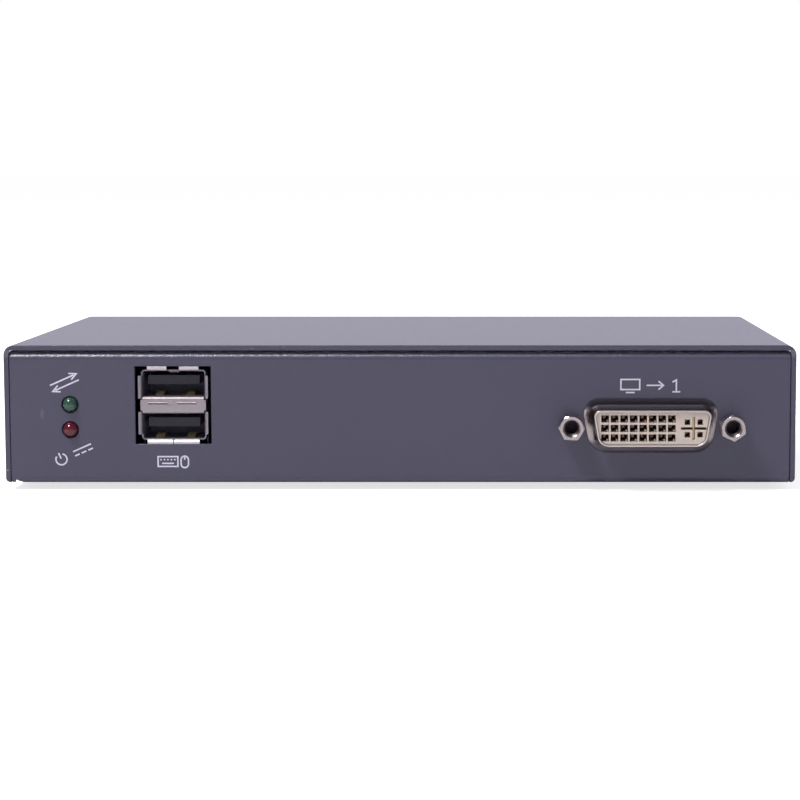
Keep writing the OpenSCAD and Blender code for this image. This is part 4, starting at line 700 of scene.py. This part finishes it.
# The marks beside the lights and sockets, screen-printed in matt white ink on the paint: a link,
# a power sign with direct current, a screen with an arrow out of it, and a keyboard with a mouse.
# They are plain signs, in the places where the panel has its print.
ink_tones = ("#dedbea", "#c8c4d6")
ink_mottle = 0.5 * MM
ink_rise = 0.01 * MM
ink_y = face_y - 0.012 * MM
stroke_w = 0.3 * MM
disc_steps = 20
lights_turn = 24
link_place = middle("link_light") + np.array([-1.05, 4.5]) * MM
power_place = middle("power_light") + np.array([0.45, -5.0]) * MM
screen_place = (hood_x - 0.2 * MM, hood_z + 8.05 * MM)
keyboard_place = (shell_x - 0.1 * MM, shell_low[2] - 0.4 * MM)


def white_ink():
    """Matt white ink, a little thinner here and there, so the paint shows through as a faint mottle."""
    material, tree, shader, place = start("white_screen_ink")
    thin = add(tree, "ShaderNodeTexNoise", {"Scale": 1 / ink_mottle, "Detail": 3}, {"Vector": place})
    tone = add(tree, "ShaderNodeMix",
               {"data_type": "RGBA", 6: linear(ink_tones[0]), 7: linear(ink_tones[1])},
               {0: thin.outputs["Fac"]})
    bump = add(tree, "ShaderNodeBump", {"Strength": 0.2, "Distance": ink_rise},
               {"Height": thin.outputs["Fac"]})
    fit(tree, shader, {"Roughness": 0.55},
        {"Base Color": tone.outputs[2], "Normal": bump.outputs["Normal"]})
    return material


def line_of(points, closed=False):
    """A stroke of even width along points in mm: each point moves out and in along its own mitre,
    the mean of its two neighbours' normals made longer by the turn."""
    points = np.array(points, float) * MM
    after = np.roll(points, -1, 0) - points
    before = points - np.roll(points, 1, 0)
    if not closed:
        after[-1] = before[-1]
        before[0] = after[0]
    normals = []
    for way in (before, after):
        normals.append(np.stack([-way[:, 1], way[:, 0]], 1) / np.hypot(way[:, 0], way[:, 1])[:, None])
    mitre = normals[0] + normals[1]
    mitre = mitre / np.sum(mitre * normals[0], 1)[:, None]
    count = len(points)
    rows = np.arange(count if closed else count - 1)
    faces = np.stack([rows, (rows + 1) % count, (rows + 1) % count + count, rows + count], 1)
    return np.concatenate([points - mitre * stroke_w / 2, points + mitre * stroke_w / 2]), faces.tolist()


def disc(x, y, r):
    """A filled round dot: one polygon of points evenly spaced on its rim."""
    angle = np.linspace(0, 2 * np.pi, disc_steps, endpoint=False)
    return np.stack([x + r * np.cos(angle), y + r * np.sin(angle)], 1) * MM, [list(range(disc_steps))]


def arc(x, y, r, first, last, steps=24):
    """Points on a circle between two angles in degrees."""
    angle = np.radians(np.linspace(first, last, steps))
    return np.stack([x + r * np.cos(angle), y + r * np.sin(angle)], 1)


def mark(name, place, turn, shapes):
    """Prints shapes, all drawn about the mark's middle, turned and placed on the panel's face."""
    points, faces = [], []
    for shape, sides in shapes:
        faces += [[i + sum(map(len, points)) for i in side] for side in sides]
        points.append(shape)
    flat = np.concatenate(points)
    cos, sin = np.cos(np.radians(turn)), np.sin(np.radians(turn))
    right, up = flat[:, 0] * cos - flat[:, 1] * sin, flat[:, 0] * sin + flat[:, 1] * cos
    printed = np.stack([place[0] + right, np.full(len(flat), ink_y), place[1] + up], 1)
    piece(name, printed, faces, ink, "case")


ink = white_ink()
mark("link_mark", link_place, lights_turn, [
    line_of([(-2.9, 0.62), (2.3, 0.62)]),
    line_of([(1.5, 1.32), (2.9, 0.62), (1.5, -0.08)]),
    line_of([(2.9, -0.72), (-2.3, -0.72)]),
    line_of([(-1.5, -1.42), (-2.9, -0.72), (-1.5, -0.02)]),
])
mark("power_mark", power_place, lights_turn, [
    line_of(arc(-2.6, 0, 1.12, 125, 415)),
    line_of([(-2.6, 0.15), (-2.6, 1.4)]),
    line_of([(0.2, 0.45), (4.2, 0.45)]),
    line_of([(0.2, -0.5), (1.25, -0.5)]),
    line_of([(1.68, -0.5), (2.73, -0.5)]),
    line_of([(3.15, -0.5), (4.2, -0.5)]),
])
mark("screen_mark", screen_place, 0, [
    line_of([(-5.9, -0.75), (-2.1, -0.75), (-2.1, 1.3), (-5.9, 1.3)], closed=True),
    line_of([(-4.9, -1.35), (-3.1, -1.35)]),
    line_of([(-0.7, 0.1), (2.5, 0.1)]),
    line_of([(1.7, 0.95), (2.7, 0.1), (1.7, -0.75)]),
    line_of([(4.5, 0.75), (5.3, 1.2), (5.3, -1.2)]),
    line_of([(4.5, -1.2), (6.1, -1.2)]),
])
mark("keyboard_mark", keyboard_place, 0, [
    line_of([(-3.1, -1.0), (0.9, -1.0), (0.9, 1.0), (-3.1, 1.0)], closed=True),
    *[disc(x, 0.38, 0.17) for x in (-2.5, -1.8, -1.1, -0.4, 0.3)],
    line_of([(-2.3, -0.38), (0.1, -0.38)]),
    line_of([*arc(2.3, 0.35, 0.75, 0, 180, 12), *arc(2.3, -0.5, 0.75, 180, 360, 12)], closed=True),
    line_of([(2.3, 0.35), (2.3, 1.0)]),
])

# The camera stands where the photograph was taken from, a little over the top and to the right
# of the middle, level sideways and looking down. Its shift puts the box where the picture has it.
camera_place = (18.08 * MM, -499.2 * MM, 64.65 * MM)
camera_down = 5.846
camera_focal_px = 2245.4
camera_middle_px = 489.6
image_px = 800
sensor_mm = 36

camera_data = bpy.data.cameras.new("camera")
camera_data.sensor_width = sensor_mm
camera_data.lens = camera_focal_px * sensor_mm / image_px
camera_data.shift_x = (image_px / 2 - camera_middle_px) / image_px
camera_data.clip_start = 10 * MM
camera = bpy.data.objects.new("camera", camera_data)
camera.location = camera_place
camera.rotation_euler = (np.radians(90 - camera_down), 0, 0)
bpy.context.scene.collection.objects.link(camera)
bpy.context.scene.camera = camera

# The stage: a white floor, one soft box up on the left, wide faint ones on the right and at the
# back, and a pale room. The camera and clear epoxy see white beyond the floor, and a mirror sees
# white at the back and less light towards the sides and the roof.
room_light = 0.36
room_tint = "#f4f0ff"
back_from = (0.1, 0.35)
roof_from = (0.25, 0.85)
roof_light = (0.44, 0.08)
sides_wide = (0.5, 0.95)
sides_light = (1.0, 0.4)
aim = (0, 0, 0.015)
key_place = (-0.46, -0.44, 1.05)
key_size = 0.34
key_power = 12.5
fill_place = (0.9, -0.9, 0.5)
fill_size = 0.9
fill_power = 1.9
rear_place = (-0.5, 1.1, 0.7)
rear_power = 4.0
floor_reach = 30.0
floor_grey = 0.86
floor_lift = 0.72


def soft_box(name, place, size, power):
    """A square soft box that faces the object."""
    data = bpy.data.lights.new(name, "AREA")
    data.size = size
    data.energy = power
    made = bpy.data.objects.new(name, data)
    made.location = place
    toward = np.array(aim) - np.array(place)
    flat = np.hypot(toward[0], toward[1])
    made.rotation_euler = (np.arctan2(flat, -toward[2]), 0, np.arctan2(-toward[0], toward[1]))
    bpy.context.scene.collection.objects.link(made)
    return made


soft_box("key", key_place, key_size, key_power)
fill = soft_box("fill", fill_place, fill_size, fill_power)
rear = soft_box("rear", rear_place, fill_size, rear_power)
for faint in (fill, rear):
    faint.visible_glossy = False

world = bpy.data.worlds.new("room")
world.use_nodes = True
bpy.context.scene.world = world
room = world.node_tree
path = add(room, "ShaderNodeLightPath")
seen = add(room, "ShaderNodeMath", {"operation": "MAXIMUM"},
           {0: path.outputs["Is Camera Ray"], 1: path.outputs["Is Transmission Ray"]})
look = add(room, "ShaderNodeTexCoord").outputs["Generated"]
direction = add(room, "ShaderNodeSeparateXYZ", links={"Vector": look})
behind = add(room, "ShaderNodeMapRange",
             {"From Min": back_from[0], "From Max": back_from[1], "To Max": 1.0},
             {"Value": direction.outputs["Y"]})
roof = add(room, "ShaderNodeMapRange",
           {"From Min": roof_from[0], "From Max": roof_from[1],
            "To Min": roof_light[0], "To Max": roof_light[1]},
           {"Value": direction.outputs["Z"]})
across = add(room, "ShaderNodeMath", {"operation": "ABSOLUTE"}, {0: direction.outputs["X"]})
dimmer = add(room, "ShaderNodeMapRange",
             {"From Min": sides_wide[0], "From Max": sides_wide[1],
              "To Min": sides_light[0], "To Max": sides_light[1]},
             {"Value": across.outputs[0]})
walls = add(room, "ShaderNodeMath", {"operation": "MULTIPLY"},
            {0: roof.outputs["Result"], 1: dimmer.outputs["Result"]})
around = add(room, "ShaderNodeMath", {"operation": "MAXIMUM"},
             {0: behind.outputs["Result"], 1: walls.outputs[0]})
mirrored = add(room, "ShaderNodeMix", {"data_type": "FLOAT", 2: room_light},
               {0: path.outputs["Is Glossy Ray"], 3: around.outputs[0]})
level = add(room, "ShaderNodeMix", {"data_type": "FLOAT", 3: 1.0},
            {0: seen.outputs[0], 2: mirrored.outputs[0]})
cast = add(room, "ShaderNodeMix", {"data_type": "RGBA", 6: linear(room_tint), 7: (1, 1, 1, 1)},
           {0: seen.outputs[0]})
fit(room, room.nodes["Background"], links={"Strength": level.outputs[0], "Color": cast.outputs[2]})


def white_floor():
    """White paper: the camera sees it lifted to white, and the object's shadow stays on it."""
    material, tree, shader = start("white_paper_floor")[:3]
    seen_by = add(tree, "ShaderNodeLightPath")
    lift = add(tree, "ShaderNodeMath", {"operation": "MULTIPLY", 1: floor_lift},
               {0: seen_by.outputs["Is Camera Ray"]})
    fit(tree, shader,
        {"Base Color": (floor_grey, floor_grey, floor_grey, 1), "Roughness": 0.9,
         "Specular IOR Level": 0.0, "Emission Color": (1, 1, 1, 1)},
        {"Emission Strength": lift.outputs[0]})
    return material


floor_mesh = bpy.data.meshes.new("floor")
corners = [(x * floor_reach, y * floor_reach, 0) for x, y in ((-1, -1), (1, -1), (1, 1), (-1, 1))]
floor_mesh.from_pydata(corners, [], [(0, 1, 2, 3)])
floor_mesh.materials.append(white_floor())
floor = bpy.data.objects.new("floor", floor_mesh)
bpy.context.scene.collection.objects.link(floor)

bpy.context.scene.view_settings.view_transform = "Standard"
